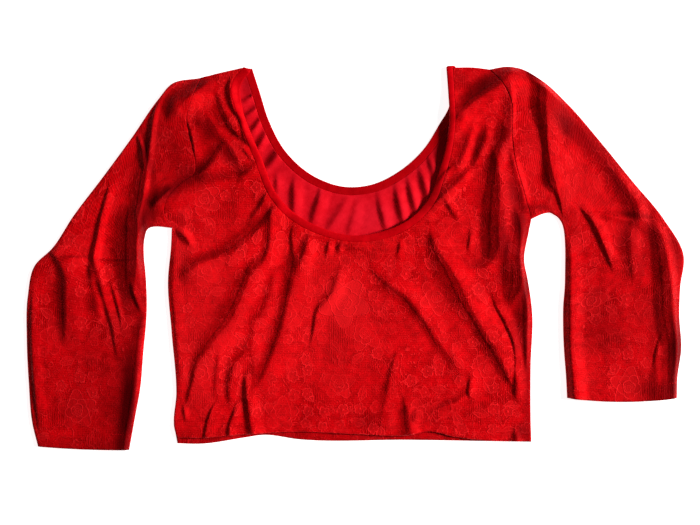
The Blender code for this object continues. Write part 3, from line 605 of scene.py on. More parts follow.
def ripple(points: np.ndarray, wavelength: float, seed: int) -> np.ndarray:
    """Smooth unevenness from -1 to 1.

    Args:
        points: places on the cloth.
        wavelength: distance over which it changes.
        seed: number that picks the pattern.

    Returns:
        One value for each point.
    """
    cell = points / wavelength
    base = np.floor(cell).astype(np.int64)
    f = smoothstep(cell - base)

    def corner(dx: int, dy: int) -> np.ndarray:
        """The value at one corner of each point's cell."""
        mixed = (base[:, 0] + dx) * HASH[0] + (base[:, 1] + dy) * HASH[1] + seed * HASH[2]
        mixed = (mixed ^ (mixed >> 13)) * HASH[3]
        return ((mixed ^ (mixed >> 16)) & 0xFFFF) / 0xFFFF * 2 - 1

    low = corner(0, 0) * (1 - f[:, 0]) + corner(1, 0) * f[:, 0]
    high = corner(0, 1) * (1 - f[:, 0]) + corner(1, 1) * f[:, 0]
    return low * (1 - f[:, 1]) + high * f[:, 1]


class Relief:
    """Height that a table of folds gives the cloth."""

    def __init__(self, folds: Sequence[Fold]) -> None:
        """Prepares the smooth path of each fold, set in a little since a raised crest shows further out."""
        set_in = (FOLD_SCALE, FOLD_SCALE, 1.0, 1.0)
        self.paths = []
        for fold in folds:
            path = smooth_curve(fold.stations, FOLD_STEP) * set_in
            self.paths.append((fold.fall, fold.softness, path))
            LOG.debug("fold %s: %d stations", fold.name, len(path))

    def height(self, points: np.ndarray) -> np.ndarray:
        """Sum of every fold's height at the points."""
        return sum(self.fold_form(points, *path)[0] for path in self.paths)

    def crease(self, points: np.ndarray) -> np.ndarray:
        """From 0 to 1, how much painted shade a steep band gets at the points."""
        return np.max([self.fold_form(points, *path)[1] for path in self.paths], axis=0)

    @staticmethod
    def fold_form(
        points: np.ndarray, fall: float, softness: float, path: np.ndarray
    ) -> tuple[np.ndarray, np.ndarray]:
        """Form of one fold: a soft toe, a steep band, a crest and the fall behind it.

        Args:
            points: places on the cloth.
            fall: distance over which it runs out past its crest.
            softness: from 0 to 1, how gently its foot begins.
            path: columns x, y, band and rise.

        Returns:
            One height for each point, and one crease from 0 to 1.
        """
        height, crease = np.zeros((2, len(points)))
        reach = max(fall, path[:, 2].max()) + path[:, 2].max()
        low, high = path[:, :2].min(axis=0) - reach, path[:, :2].max(axis=0) + reach
        near = np.flatnonzero(((points > low) & (points < high)).all(axis=1))
        start, run = path[:-1, :2], np.diff(path[:, :2], axis=0)
        offset = points[near, None, :] - start
        share = np.clip((offset * run).sum(2) / (run**2).sum(1), 0.0, 1.0)
        offset = offset - share[..., None] * run
        distance = np.sqrt((offset**2).sum(2))
        side = np.sign(run[:, 0] * offset[..., 1] - run[:, 1] * offset[..., 0])
        weight = np.exp(-(distance - distance.min(axis=1)[:, None]) / FOLD_BLEND)
        weight /= weight.sum(axis=1)[:, None]
        band, rise = (
            (weight * (path[:-1, column] + share * np.diff(path[:, column]))).sum(axis=1)
            for column in (2, 3)
        )
        signed = (weight * side * distance).sum(axis=1)
        wide = smoothstep((band - WIDE_BAND[0]) / (WIDE_BAND[1] - WIDE_BAND[0]))
        rise = np.maximum(rise, 0.0) * (1 + RISE_WIDE * wide)
        toe = softness * (TOE + TOE_WIDE * wide) + TOE_LEAST
        ease = toe / (1 + toe)
        place = np.clip((signed / band + 0.5 + toe) / (1 + toe), 0.0, 1.0)
        climb = np.where(place < ease, place**2 / (2 * ease), place - ease / 2) / (1 - ease / 2)
        past_crest = np.clip((signed - band / 2) / fall, 0.0, 1.0)
        height[near] = rise * climb * 0.5 * (1 + np.cos(np.pi * past_crest))
        past_foot = smoothstep(place / (ease + CREASE_FOOT))
        before_crest = smoothstep((band / 2 + CREASE_CREST - signed) / CREASE_FADE)
        crease[near] = past_foot * before_crest * smoothstep(rise / CREASE_RISE)
        return height, crease


class Blouse:
    """The form that all pieces share: where the layers lie and what edges bound them."""

    def __init__(self) -> None:
        """Samples the outlines and prepares the reliefs."""
        self.upper = Relief(BODY_FOLDS + SLEEVE_FOLDS)
        self.ribs = Relief(NECK_RIBS)
        self.front_neck = smooth_curve(BINDING_FRONT)
        self.back_neck = smooth_curve(BINDING_BACK)
        self.armhole_left = smooth_curve(ARMHOLE_LEFT)
        self.armhole_right = smooth_curve(ARMHOLE_RIGHT)
        self.hem_front = smooth_curve(HEM_FRONT)
        self.hem_back = smooth_curve(HEM_BACK)
        sections = [smooth_curve(rows) for rows in (SECTIONS_LEFT, SECTIONS_RIGHT)]
        sides = [smooth_curve(SHOULDER_LEFT), smooth_curve(SHOULDER_RIGHT)]
        sides += [smooth_curve((*SIDE_LEFT, HEM_FRONT[0])), smooth_curve(SIDE_RIGHT)]
        self.rim_lines = sides + [rows[:, :2] for rows in sections] + [rows[:, 2:] for rows in sections]

    def to_rim(self, points: np.ndarray) -> np.ndarray:
        """Distance to the garment's outer edges, where its upper and lower layers meet."""
        return np.min([distance_to(points, line) for line in self.rim_lines], axis=0)

    def neck_lift(self, points: np.ndarray) -> np.ndarray:
        """How far the front's neck edge rides up on the ribs of the back."""
        fade = smoothstep((NECK_LIFT_TOP - points[:, 1]) / NECK_LIFT_FADE)
        high = smoothstep((points[:, 1] - NECK_LIFT_LOW_TOP) / NECK_LIFT_LOW_FADE)
        fade *= NECK_LIFT_LOW + (1 - NECK_LIFT_LOW) * high
        away = np.clip(distance_to(points, self.front_neck) / NECK_LIFT_REACH, 0.0, 1.0)
        return NECK_LIFT * fade * 0.5 * (1 + np.cos(np.pi * away))

    def unevenness(self, points: np.ndarray) -> np.ndarray:
        """Slight waves of cloth that was smoothed by hand."""
        return sum(size * (1 + ripple(points, length, seed)) for length, size, seed in WAVES)

    def upper_under(self, points: np.ndarray) -> np.ndarray:
        """Underside of the front and of the sleeves' upper layer."""
        from_rim = self.to_rim(points)
        free = smoothstep(from_rim / RIM_FREE)
        relief = self.upper.height(points) + self.unevenness(points) * smoothstep(from_rim / RIM_SMOOTH)
        return WALL + SEAM_GAP + relief * free + self.neck_lift(points)

    def seam_groove(self, points: np.ndarray) -> np.ndarray:
        """From 0 to 1, how close the points lie to an armhole seam."""
        seams = (self.armhole_left, self.armhole_right)
        nearest = np.min([distance_to(points, seam, NEAR_EDGE) for seam in seams], axis=0)
        return smoothstep(1 - nearest / GROOVE_HALF)

    def hem_step(self, from_edge: np.ndarray) -> np.ndarray:
        """Height that a turned-up hem adds, with the dip of its stitches, at distances from its edge."""
        stitch_dip = HEM_DIP * smoothstep(1 - np.abs(from_edge - HEM_DEPTH) / GROOVE_HALF)
        return HEM_RISE * smoothstep((HEM_DEPTH - from_edge) / HEM_RISE_RUN) - stitch_dip

    def nap_tone_and_painted_shade(self, points: np.ndarray, patches: Rows = LIGHT_AND_SHADE_PATCHES) -> np.ndarray:
        """Painted shade of the patches at the points, or below 0 painted light."""
        shade = np.zeros(len(points))
        for x, y, across, down, lean, strength in patches:
            turned = np.radians(lean)
            offset = points - (x, y)
            u = (offset[:, 0] * np.cos(turned) + offset[:, 1] * np.sin(turned)) / across
            v = (offset[:, 1] * np.cos(turned) - offset[:, 0] * np.sin(turned)) / down
            shade += strength * np.exp(-((u**2 + v**2) ** 1.5))
        return shade

    def front_top(self, points: np.ndarray) -> np.ndarray:
        """Top of the front away from its edges."""
        top = self.upper_under(points) + WALL - GROOVE_DEPTH * self.seam_groove(points)
        return top + self.hem_step(distance_to(points, self.hem_front))

    def back_under(self, points: np.ndarray) -> np.ndarray:
        """Underside of the back: on the floor, but for the ribs at the neck."""
        return self.ribs.height(points)


class Tree:
    """A short way to build a node tree."""

    def __init__(self, tree: bpy.types.NodeTree) -> None:
        """Starts on an existing tree."""
        self.tree = tree

    def node(self, kind: str, inputs: dict | None = None, **settings: object) -> bpy.types.Node:
        """Adds a node.

        Args:
            kind: the node's type name.
            inputs: socket name or number to a value or to another node's output.
            settings: properties of the node.

        Returns:
            The new node.
        """
        made = self.tree.nodes.new(kind)
        for name, value in settings.items():
            setattr(made, name, value)
        for key, value in (inputs or {}).items():
            self.feed(made.inputs[key], value)
        return made

    def group(self, group: bpy.types.NodeTree, place: object) -> bpy.types.bpy_prop_collection:
        """Outputs of a shader group at a place."""
        return self.node("ShaderNodeGroup", {"Place": place}, node_tree=group).outputs

    def feed(self, socket: bpy.types.NodeSocket, value: object) -> None:
        """Links an output to a socket, or sets the socket's own value."""
        if isinstance(value, bpy.types.NodeSocket):
            self.tree.links.new(value, socket)
        else:
            socket.default_value = value

    def math(self, operation: str, *values: object, clamp: bool = False) -> bpy.types.NodeSocket:
        """Output of a Math node on one to three values."""
        made = self.node("ShaderNodeMath", dict(enumerate(values)), operation=operation, use_clamp=clamp)
        return made.outputs[0]

    def product(self, first: object, *others: object) -> object:
        """The values multiplied in turn."""
        for value in others:
            first = self.math("MULTIPLY", first, value)
        return first

    def largest(self, first: object, *others: object) -> object:
        """The largest of the values."""
        for value in others:
            first = self.math("MAXIMUM", first, value)
        return first

    def vector(self, operation: str, *values: object) -> bpy.types.NodeSocket:
        """Output of a Vector Math node, a number for a length and else a vector."""
        made = self.node("ShaderNodeVectorMath", operation=operation)
        for place, value in enumerate(values):
            self.feed(made.inputs["Scale" if operation == "SCALE" and place else place], value)
        return made.outputs["Value" if operation == "LENGTH" else "Vector"]

    def ramp(
        self, value: object, low: float, high: float, start: float = 0.0, end: float = 1.0
    ) -> bpy.types.NodeSocket:
        """A soft step from start to end as the value goes from low to high."""
        made = self.node(
            "ShaderNodeMapRange",
            {"Value": value, "From Min": low, "From Max": high, "To Min": start, "To Max": end},
            interpolation_type="SMOOTHSTEP",
        )
        return made.outputs["Result"]

    def noise(
        self, vector: object, scale: float, detail: float, rough: float, output: str = "Fac"
    ) -> bpy.types.NodeSocket:
        """Height of a noise texture, or its colour."""
        inputs = {"Vector": vector, "Scale": scale, "Detail": detail, "Roughness": rough}
        return self.node("ShaderNodeTexNoise", inputs).outputs[output]

    def split(self, vector: object) -> tuple[bpy.types.NodeSocket, bpy.types.NodeSocket]:
        """X and Y of a vector."""
        made = self.node("ShaderNodeSeparateXYZ", {"Vector": vector})
        return made.outputs["X"], made.outputs["Y"]

    def polar(self, vector: object) -> tuple[bpy.types.NodeSocket, bpy.types.NodeSocket]:
        """Length of a flat vector and its angle to the x axis."""
        across, up = self.split(vector)
        return self.vector("LENGTH", vector), self.math("ARCTAN2", up, across)

    def blend(self, factor: object, a: object, b: object) -> bpy.types.NodeSocket:
        """A mix of two colours."""
        made = self.node("ShaderNodeMix", data_type="RGBA")
        for key, value in ((0, factor), (6, a), (7, b)):
            self.feed(made.inputs[key], value)
        return made.outputs[2]


def shader_group(
    name: str, outputs: Sequence[str]
) -> tuple[Tree, bpy.types.NodeSocket, bpy.types.bpy_prop_collection]:
    """A new shader node group that reads a place in millimetres.

    Args:
        name: the group's name.
        outputs: names of the number outputs.

    Returns:
        The tree, the place, and the sockets that take the group's outputs.
    """
    group = bpy.data.node_groups.new(name, "ShaderNodeTree")
    group.interface.new_socket(name="Place", in_out="INPUT", socket_type="NodeSocketVector")
    for label in outputs:
        group.interface.new_socket(name=label, in_out="OUTPUT", socket_type="NodeSocketFloat")
    tree = Tree(group)
    return tree, tree.node("NodeGroupInput").outputs["Place"], tree.node("NodeGroupOutput").inputs


class Motif(Enum):
    """Parts of the embossed pattern: size and shift of their cells in millimetres, and share left empty."""

    ROSE = (74.0, 22.0, 0.0)
    BLOSSOM = (17.0, 57.0, 0.42)
    LEAF = (25.0, 131.0, 0.35)
    DAISY = (21.0, 203.0, 0.45)
    BEAD = (2.6, 9.0, 0.0)

    def __init__(self, cell: float, shift: float, empty: float) -> None:
        """Names the three values."""
        self.cell = cell
        self.shift = shift
        self.empty = empty


@dataclass(frozen=True)
class PetalRing:
    """A ring of petals: how many, share of the flower's radius, depth and point of its gaps, and turn."""

    count: float
    share: float
    depth: float
    point: float
    phase: float


class EmbossedFlowers:
    """Shader group: roses, blossoms, leaves, daisies, beaded arcs and tendrils embossed into the pile.

    A value named LINE is half the width of a line. One named EDGE is a limit and half the width of its soft
    step. A NOISE is the scale, detail and roughness of a noise texture.
    """

    NAME = "embossed flowers"
    SOFT = 0.3
    WOBBLE = 3.0
    WOBBLE_NOISE = (0.12, 1.0, 0.5)
    WORN_NOISE = (0.16, 2.0, 0.6)
    WORN_RAMP = (0.36, 0.60, 0.35, 1.0)
    SCATTER = 0.7
    SHIFT_UP = 0.7

    GREAT_ROSE = (-12.0, -44.0, 0.0)
    GREAT_GROWTH = 2.2
    ROSE_RADIUS = 19.0
    ROSE_GROWTH = (0.25, 0.85)
    ROSE_LINE = 0.5
    ROSE_CORE = 3.0
    ROSE_HEART_EDGE = (5.0, 0.5)
    ROSE_SWIRL = 3.2
    SWIRL_RAMP = (0.5, 0.9)
    PETAL_GAP_EDGE = (0.5, 0.3)
    ROSE_RINGS = (
        PetalRing(count=3.0, share=0.32, depth=0.25, point=0.7, phase=0.4),
        PetalRing(count=5.0, share=0.60, depth=0.25, point=0.7, phase=1.0),
        PetalRing(count=5.0, share=1.0, depth=0.38, point=1.6, phase=0.3),
    )

    BLOSSOM_GROWTH = (2.2, 4.0)
    BLOSSOM_RING = PetalRing(count=5.0, share=1.0, depth=0.38, point=0.6, phase=0.0)
    BLOSSOM_NOISE = (0.35, 1.0, 0.5)
    BLOSSOM_UNEVEN = 3.2
    BLOSSOM_LINE = 0.65
    BLOSSOM_EDGE = (0.0, 0.4)
    BLOSSOM_HEART_EDGE = (1.0, 0.3)

    LEAF_LENGTH = 17.0
    LEAF_HALF = 4.2
    LEAF_LEAST = 0.02
    LEAF_LINE = 0.45
    MIDRIB_LINE = 0.35
    VEIN_PITCH = 2.3
    VEIN_RAMP = (0.7, 1.0)
    VEIN_SHARE = 0.6

    RAYS = 4.0
    RAY_EDGE = (1.3, 0.4)
    RAY_END_EDGE = (4.3, 0.3)
    WINDING_NOISE = (0.035, 0.6, 0.5)
    WINDINGS = 7.0
    TENDRIL_EDGE = (0.03, 0.015)
    ARC_EDGE = (0.06, 0.01)
    BEAD_EDGE = (0.8, 0.2)

    def build(self) -> bpy.types.NodeTree:
        """Makes the group.

        Returns:
            A group with a vector in millimetres and outputs Lines, Smooth and Great from 0 to 1.
        """
        tree, place, result = shader_group(self.NAME, ("Lines", "Smooth", "Great"))
        wobble = tree.noise(place, *self.WOBBLE_NOISE, output="Color")
        wobble = tree.vector("SUBTRACT", wobble, (0.5, 0.5, 0.5))
        place = tree.vector("ADD", place, tree.vector("SCALE", wobble, self.WOBBLE))
        rose = self.rose(tree, *self.nearest(tree, place, Motif.ROSE))
        middle = tree.vector("SUBTRACT", place, self.GREAT_ROSE)
        great = self.rose(tree, *tree.polar(middle), self.GREAT_GROWTH)
        lines, ground = self.filler(tree, place), 0.0
        for motif_lines, motif_ground in (self.leaf(tree, place), self.blossom(tree, place), rose, great):
            open_share = tree.math("SUBTRACT", 1.0, motif_ground, clamp=True)
            lines = tree.largest(motif_lines, tree.product(lines, open_share))
            ground = tree.largest(motif_ground, ground)
        worn = tree.ramp(tree.noise(place, *self.WORN_NOISE), *self.WORN_RAMP)
        tree.feed(result["Lines"], tree.product(lines, worn))
        tree.feed(result["Smooth"], ground)
        tree.feed(result["Great"], great[1])
        return tree.tree

    def nearest(self, tree: Tree, place: object, motif: Motif) -> tuple:
        """Distance, turned angle and a random value about the nearest motif's middle."""
        shift = (motif.shift, motif.shift * self.SHIFT_UP, 0.0)
        cell = tree.vector("SCALE", tree.vector("ADD", place, shift), 1 / motif.cell)
        inputs = {"Vector": cell, "Scale": 1.0, "Randomness": self.SCATTER}
        found = tree.node("ShaderNodeTexVoronoi", inputs, voronoi_dimensions="2D").outputs
        local = tree.vector("SCALE", tree.vector("SUBTRACT", cell, found["Position"]), motif.cell)
        radius, turn = tree.polar(local)
        chance, second = tree.split(found["Color"])
        return radius, tree.math("ADD", turn, tree.product(second, FULL_TURN)), chance

    def within(self, tree: Tree, distance: object, limit: float, soft: float) -> object:
        """1 where the distance is below the limit and 0 past it, with a soft step between."""
        return tree.ramp(distance, limit + soft, limit - soft)

    def line(self, tree: Tree, distance: object, half: float) -> object:
        """A soft line where the distance is near 0."""
        return self.within(tree, tree.math("ABSOLUTE", distance), half, self.SOFT)

    def petals(self, tree: Tree, turn: object, ring: PetalRing, size: object) -> tuple:
        """Radius of a ring of petals, and from 0 between petals to 1 in a petal's middle."""
        turn = tree.math("ADD", turn, ring.phase)
        middle = tree.math("ABSOLUTE", tree.math("COSINE", tree.product(turn, ring.count / 2)))
        swell = tree.math("MULTIPLY_ADD", tree.math("POWER", middle, ring.point), ring.depth, 1 - ring.depth)
        return tree.product(size, swell), middle

    def rose(self, tree: Tree, radius: object, turn: object, growth: object) -> tuple:
        """A large rose: rings of petals round a small heart."""
        lines, ground, inner = 0.0, 0.0, self.ROSE_CORE
        for ring in self.ROSE_RINGS:
            size = tree.math("MULTIPLY_ADD", growth, *self.ROSE_GROWTH)
            edge, middle = self.petals(tree, turn, ring, tree.product(size, self.ROSE_RADIUS * ring.share))
            gap = tree.math("SUBTRACT", radius, edge)
            between = self.within(tree, tree.product(middle, radius), *self.PETAL_GAP_EDGE)
            between = tree.product(between, tree.math("LESS_THAN", gap, 0.0))
            between = tree.product(between, tree.math("GREATER_THAN", radius, inner))
            lines = tree.largest(lines, self.line(tree, gap, self.ROSE_LINE), between)
            ground = tree.largest(ground, self.within(tree, gap, 0.0, self.SOFT))
            inner = edge
        swirl = tree.math("SINE", tree.math("MULTIPLY_ADD", radius, self.ROSE_SWIRL, turn))
        heart = self.within(tree, radius, *self.ROSE_HEART_EDGE)
        return tree.largest(lines, tree.product(heart, tree.ramp(swirl, *self.SWIRL_RAMP))), ground

    def blossom(self, tree: Tree, place: object) -> tuple:
        """Small round-lobed blossoms with a thick outline."""
        radius, turn, chance = self.nearest(tree, place, Motif.BLOSSOM)
        size = tree.math("MULTIPLY_ADD", chance, *self.BLOSSOM_GROWTH)
        uneven = tree.noise(place, *self.BLOSSOM_NOISE)
        uneven = tree.math("MULTIPLY_ADD", uneven, self.BLOSSOM_UNEVEN, -self.BLOSSOM_UNEVEN / 2)
        edge, _ = self.petals(tree, turn, self.BLOSSOM_RING, tree.math("ADD", size, uneven))
        gap = tree.math("SUBTRACT", radius, edge)
        heart = self.within(tree, radius, *self.BLOSSOM_HEART_EDGE)
        lines = tree.largest(self.line(tree, gap, self.BLOSSOM_LINE), heart)
        some = tree.math("GREATER_THAN", chance, Motif.BLOSSOM.empty)
        return tree.product(lines, some), tree.product(self.within(tree, gap, *self.BLOSSOM_EDGE), some)

    def leaf(self, tree: Tree, place: object) -> tuple:
        """Pointed leaves with a midrib and slanting veins."""
        radius, turn, chance = self.nearest(tree, place, Motif.LEAF)
        along = tree.product(radius, tree.math("COSINE", turn))
        across = tree.math("ABSOLUTE", tree.product(radius, tree.math("SINE", turn)))
        share = tree.math("MULTIPLY_ADD", along, 1 / self.LEAF_LENGTH, 0.5, clamp=True)
        half = tree.product(tree.math("SINE", tree.product(share, FULL_TURN / 2)), self.LEAF_HALF)
        gap = tree.math("SUBTRACT", across, half)
        grown = tree.math("GREATER_THAN", half, self.LEAF_LEAST)
        blade = tree.product(self.within(tree, gap, 0.0, self.SOFT), grown)
        slant = tree.math("SINE", tree.product(tree.math("SUBTRACT", along, across), self.VEIN_PITCH))
        veins = tree.product(tree.ramp(slant, *self.VEIN_RAMP), blade, self.VEIN_SHARE)
        midrib = tree.product(self.line(tree, across, self.MIDRIB_LINE), blade)
        rim = tree.product(self.line(tree, gap, self.LEAF_LINE), grown)
        some = tree.math("GREATER_THAN", chance, Motif.LEAF.empty)
        return tree.product(tree.largest(rim, veins, midrib), some), tree.product(blade, some)

    def filler(self, tree: Tree, place: object) -> object:
        """Daisies, beaded arcs and tendrils between the larger motifs."""
        radius, turn, chance = self.nearest(tree, place, Motif.DAISY)
        rays = tree.product(tree.math("SINE", tree.product(turn, self.RAYS)), radius)
        rays = self.within(tree, tree.math("ABSOLUTE", rays), *self.RAY_EDGE)
        rays = tree.product(rays, self.within(tree, radius, *self.RAY_END_EDGE))
        rays = tree.product(rays, tree.math("GREATER_THAN", chance, Motif.DAISY.empty))
        winding = tree.product(tree.noise(place, *self.WINDING_NOISE), self.WINDINGS)
        band = tree.math("PINGPONG", winding, 0.5)
        tendril = self.within(tree, band, *self.TENDRIL_EDGE)
        arc = tree.math("ABSOLUTE", tree.math("SUBTRACT", band, 0.25))
        arc = self.within(tree, arc, *self.ARC_EDGE)
        bead, _, _ = self.nearest(tree, place, Motif.BEAD)
        beads = tree.product(self.within(tree, bead, *self.BEAD_EDGE), arc)
        return tree.largest(rays, tendril, beads)


class Pile:
    """Shader group: grain of a short pile, its ribbed ground, and slow nap tone that differs at random.

    A NOISE is the scale, detail and roughness of a noise texture.
    """

    NAME = "brushed pile"
    GRAIN_NOISE = (0.62, 2.0, 0.75)
    RIB_PITCH = 2.3
    RIB_BEND = 8.0
    RIB_BEND_NOISE = (0.25, 2.0, 0.5)
    RIB_TURN_NOISE = (0.03, 1.0, 0.5)
    RIB_TURN_RAMP = (0.38, 0.44)
    SLOW_NOISE = (0.030, 3.0, 0.6)
    QUICK_NOISE = (0.15, 2.0, 0.6)
    QUICK_SHARE = 0.45
    PRESENCE_NOISE = (0.022, 2.0, 0.5)
    PRESENCE_RAMP = (0.38, 0.62)

    def build(self) -> bpy.types.NodeTree:
        """Makes the group.

        Returns:
            A group with a vector in millimetres and outputs Grain, Ribs, Brushed and Presence from 0 to 1.
        """
        tree, place, result = shader_group(self.NAME, ("Grain", "Ribs", "Brushed", "Presence"))
        tree.feed(result["Grain"], tree.noise(place, *self.GRAIN_NOISE))
        bent = tree.product(tree.noise(place, *self.RIB_BEND_NOISE), self.RIB_BEND)
        ribs = []
        for axis in tree.split(place):
            wave = tree.math("SINE", tree.math("MULTIPLY_ADD", axis, FULL_TURN / self.RIB_PITCH, bent))
            ribs.append(tree.math("MULTIPLY_ADD", wave, 0.5, 0.5))
        choice = tree.ramp(tree.noise(place, *self.RIB_TURN_NOISE), *self.RIB_TURN_RAMP)
        turned = tree.math("MULTIPLY_ADD", tree.math("SUBTRACT", ribs[1], ribs[0]), choice, ribs[0])
        tree.feed(result["Ribs"], turned)
        slow = tree.product(tree.noise(place, *self.SLOW_NOISE), 1 - self.QUICK_SHARE)
        quick = tree.noise(place, *self.QUICK_NOISE)
        tree.feed(result["Brushed"], tree.math("MULTIPLY_ADD", quick, self.QUICK_SHARE, slow))
        presence = tree.ramp(tree.noise(place, *self.PRESENCE_NOISE), *self.PRESENCE_RAMP)
        tree.feed(result["Presence"], presence)
        return tree.tree


@dataclass(frozen=True)
class ClothFinish:
    """Colours and relief of one cloth.

    The constants are the weights that all cloths share: what the pattern, the ribs, the grain, the random
    nap tone and the painted light and shade do to the colour and to the height; shade is the painted shade's
    colour.
    """

    name: str
    dark: Colour
    mid: Colour
    light: Colour
    roughness: float
    sheen: float
    emboss: float
    grain: float
    shine: float = 0.12
    shade: Colour = (0.10, 0.0, 0.001)

    SPECULAR_TINT: ClassVar[tuple] = (1.0, 0.06, 0.08, 1.0)
    SHEEN_TINT: ClassVar[tuple] = (1.0, 0.02, 0.04, 1.0)
    SHEEN_ROUGHNESS: ClassVar[float] = 0.4
    ROUGHNESS_SPREAD: ClassVar[float] = 0.08
    ROUGHNESS_RAMP: ClassVar[tuple] = (0.3, 0.7)
    BRUSHED_RAMP: ClassVar[tuple] = (0.33, 0.67)
    GRAIN_TONE: ClassVar[float] = 1.3
    PRESENCE: ClassVar[tuple] = (0.6, 0.4)
    SMOOTH_TONE: ClassVar[float] = 0.32
    LINES_TONE: ClassVar[float] = 0.95
    GREAT_TONE: ClassVar[float] = 0.28
    RIBS_TONE: ClassVar[float] = 0.16
    RIBS_RELIEF: ClassVar[float] = 0.45
    SMOOTH_RELIEF: ClassVar[float] = 0.3
    PAINTED_LIGHT_WEIGHT: ClassVar[float] = -0.7
    PAINTED_SHADE_WEIGHT: ClassVar[float] = 0.75

    def build(self, flowers: bpy.types.NodeTree, pile: bpy.types.NodeTree) -> bpy.types.Material:
        """Makes the material.

        Args:
            flowers: the group of the embossed pattern.
            pile: the group of the pile.

        Returns:
            The material, which reads the piece's own cloth map.
        """
        material = bpy.data.materials.new(self.name)
        material.use_nodes = True
        tree = Tree(material.node_tree)
        tree.tree.nodes.clear()
        cloth = tree.node("ShaderNodeUVMap", uv_map=CLOTH_MAP).outputs["UV"]
        place = tree.vector("SCALE", cloth, 1 / MM)
        worn = tree.group(pile, place)
        grain = tree.math("SUBTRACT", worn["Grain"], 0.5)
        nap_tone_and_painted_shade = tree.ramp(worn["Brushed"], *self.BRUSHED_RAMP)
        tone = tree.math("ADD", nap_tone_and_painted_shade, tree.product(grain, self.GRAIN_TONE), clamp=True)
        height = tree.product(grain, self.grain)
        colour = tree.blend(tone, (*self.dark, 1.0), (*self.mid, 1.0))
        if self.emboss:
            pattern = tree.group(flowers, place)
            great = pattern["Great"]
            presence = tree.math("MULTIPLY_ADD", worn["Presence"], *self.PRESENCE)
            presence = tree.largest(presence, great)
            lines = tree.product(pattern["Lines"], presence)
            smooth = tree.product(pattern["Smooth"], presence)
            ribs = tree.product(worn["Ribs"], tree.math("SUBTRACT", 1.0, smooth, clamp=True))
            shown = 0.0
            tones = (self.LINES_TONE, self.SMOOTH_TONE, self.GREAT_TONE, self.RIBS_TONE)
            for part, weight in zip((lines, smooth, great, ribs), tones):
                shown = tree.math("MULTIPLY_ADD", part, weight, shown)
            colour = tree.blend(shown, colour, (*self.light, 1.0))
            for part, weight in ((ribs, self.RIBS_RELIEF), (smooth, self.SMOOTH_RELIEF), (lines, 1.0)):
                height = tree.math("MULTIPLY_ADD", part, weight * self.emboss, height)
        # Painted shade from the attribute blends towards the shade colour, and below 0 painted light towards
        # the light colour
        painted_shading = tree.node("ShaderNodeAttribute", attribute_name=PAINTED_LIGHT_AND_SHADE).outputs["Fac"]
        for weight, end in ((self.PAINTED_LIGHT_WEIGHT, self.light), (self.PAINTED_SHADE_WEIGHT, self.shade)):
            factor = tree.math("MULTIPLY", painted_shading, weight, clamp=True)
            colour = tree.blend(factor, colour, (*end, 1.0))
        bump = tree.node("ShaderNodeBump", {"Height": height, "Strength": 1.0, "Distance": MM})
        low, high = self.roughness - self.ROUGHNESS_SPREAD, self.roughness + self.ROUGHNESS_SPREAD
        shader = tree.node("ShaderNodeBsdfPrincipled", {
            "Base Color": colour,
            "Normal": bump.outputs["Normal"],
            "Roughness": tree.ramp(worn["Grain"], *self.ROUGHNESS_RAMP, low, high),
            "Specular IOR Level": self.shine,
            "Specular Tint": self.SPECULAR_TINT,
            "Sheen Weight": self.sheen,
            "Sheen Roughness": self.SHEEN_ROUGHNESS,
            "Sheen Tint": self.SHEEN_TINT,
        })
        tree.node("ShaderNodeOutputMaterial", {"Surface": shader.outputs["BSDF"]})
        return material


VELVET = ClothFinish(
    name="embossed velvet", dark=(0.42, 0.0, 0.001), mid=(0.85, 0.001, 0.004), light=(1.0, 0.012, 0.016),
    roughness=0.62, sheen=0.12, emboss=0.30, grain=0.45,
)
KNIT = ClothFinish(
    name="knit wrong side", dark=(0.70, 0.003, 0.010), mid=(0.90, 0.008, 0.020), light=(1.0, 0.02, 0.05),
    roughness=0.55, sheen=0.10, emboss=0.0, grain=0.04,
)
TRIM = ClothFinish(
    name="binding velvet", dark=(0.55, 0.0, 0.003), mid=(0.74, 0.001, 0.005), light=(0.95, 0.01, 0.02),
    roughness=0.60, sheen=0.12, emboss=0.0, grain=0.12,
)
THREAD = ClothFinish(
    name="sewing thread", dark=(0.62, 0.002, 0.006), mid=(0.80, 0.004, 0.010), light=(0.95, 0.01, 0.02),
    roughness=0.45, sheen=0.0, emboss=0.0, grain=0.06, shine=0.3,
)


class Side(Enum):
    """Which face of the cloth shows, as the number of its material slot."""

    RIGHT_SIDE = 0
    WRONG_SIDE = 1


@dataclass
class Wardrobe:
    """The finished materials, made once and shared by the pieces."""

    velvet: bpy.types.Material
    knit: bpy.types.Material
    trim: bpy.types.Material
    thread: bpy.types.Material

    @classmethod
    def make(cls) -> "Wardrobe":
        """Builds the shared groups and every material."""
        flowers, pile = EmbossedFlowers().build(), Pile().build()
        return cls(*(finish.build(flowers, pile) for finish in (VELVET, KNIT, TRIM, THREAD)))


def place_object(name: str, data: bpy.types.ID) -> bpy.types.Object:
    """An object of the scene, at the origin."""
    made = bpy.data.objects.new(name, data)
    bpy.context.scene.collection.objects.link(made)
    return made


def lay_cloth_map(mesh: bpy.types.Mesh, places: np.ndarray) -> None:
    """Gives a mesh its cloth map, from the place in metres of each vertex on the cloth."""
    corners = np.empty(len(mesh.loops), np.int32)
    mesh.loops.foreach_get("vertex_index", corners)
    cloth_map = mesh.uv_layers.get(CLOTH_MAP) or mesh.uv_layers.new(name=CLOTH_MAP)
    cloth_map.data.foreach_set("uv", places[corners, :2].astype(np.float32).ravel())


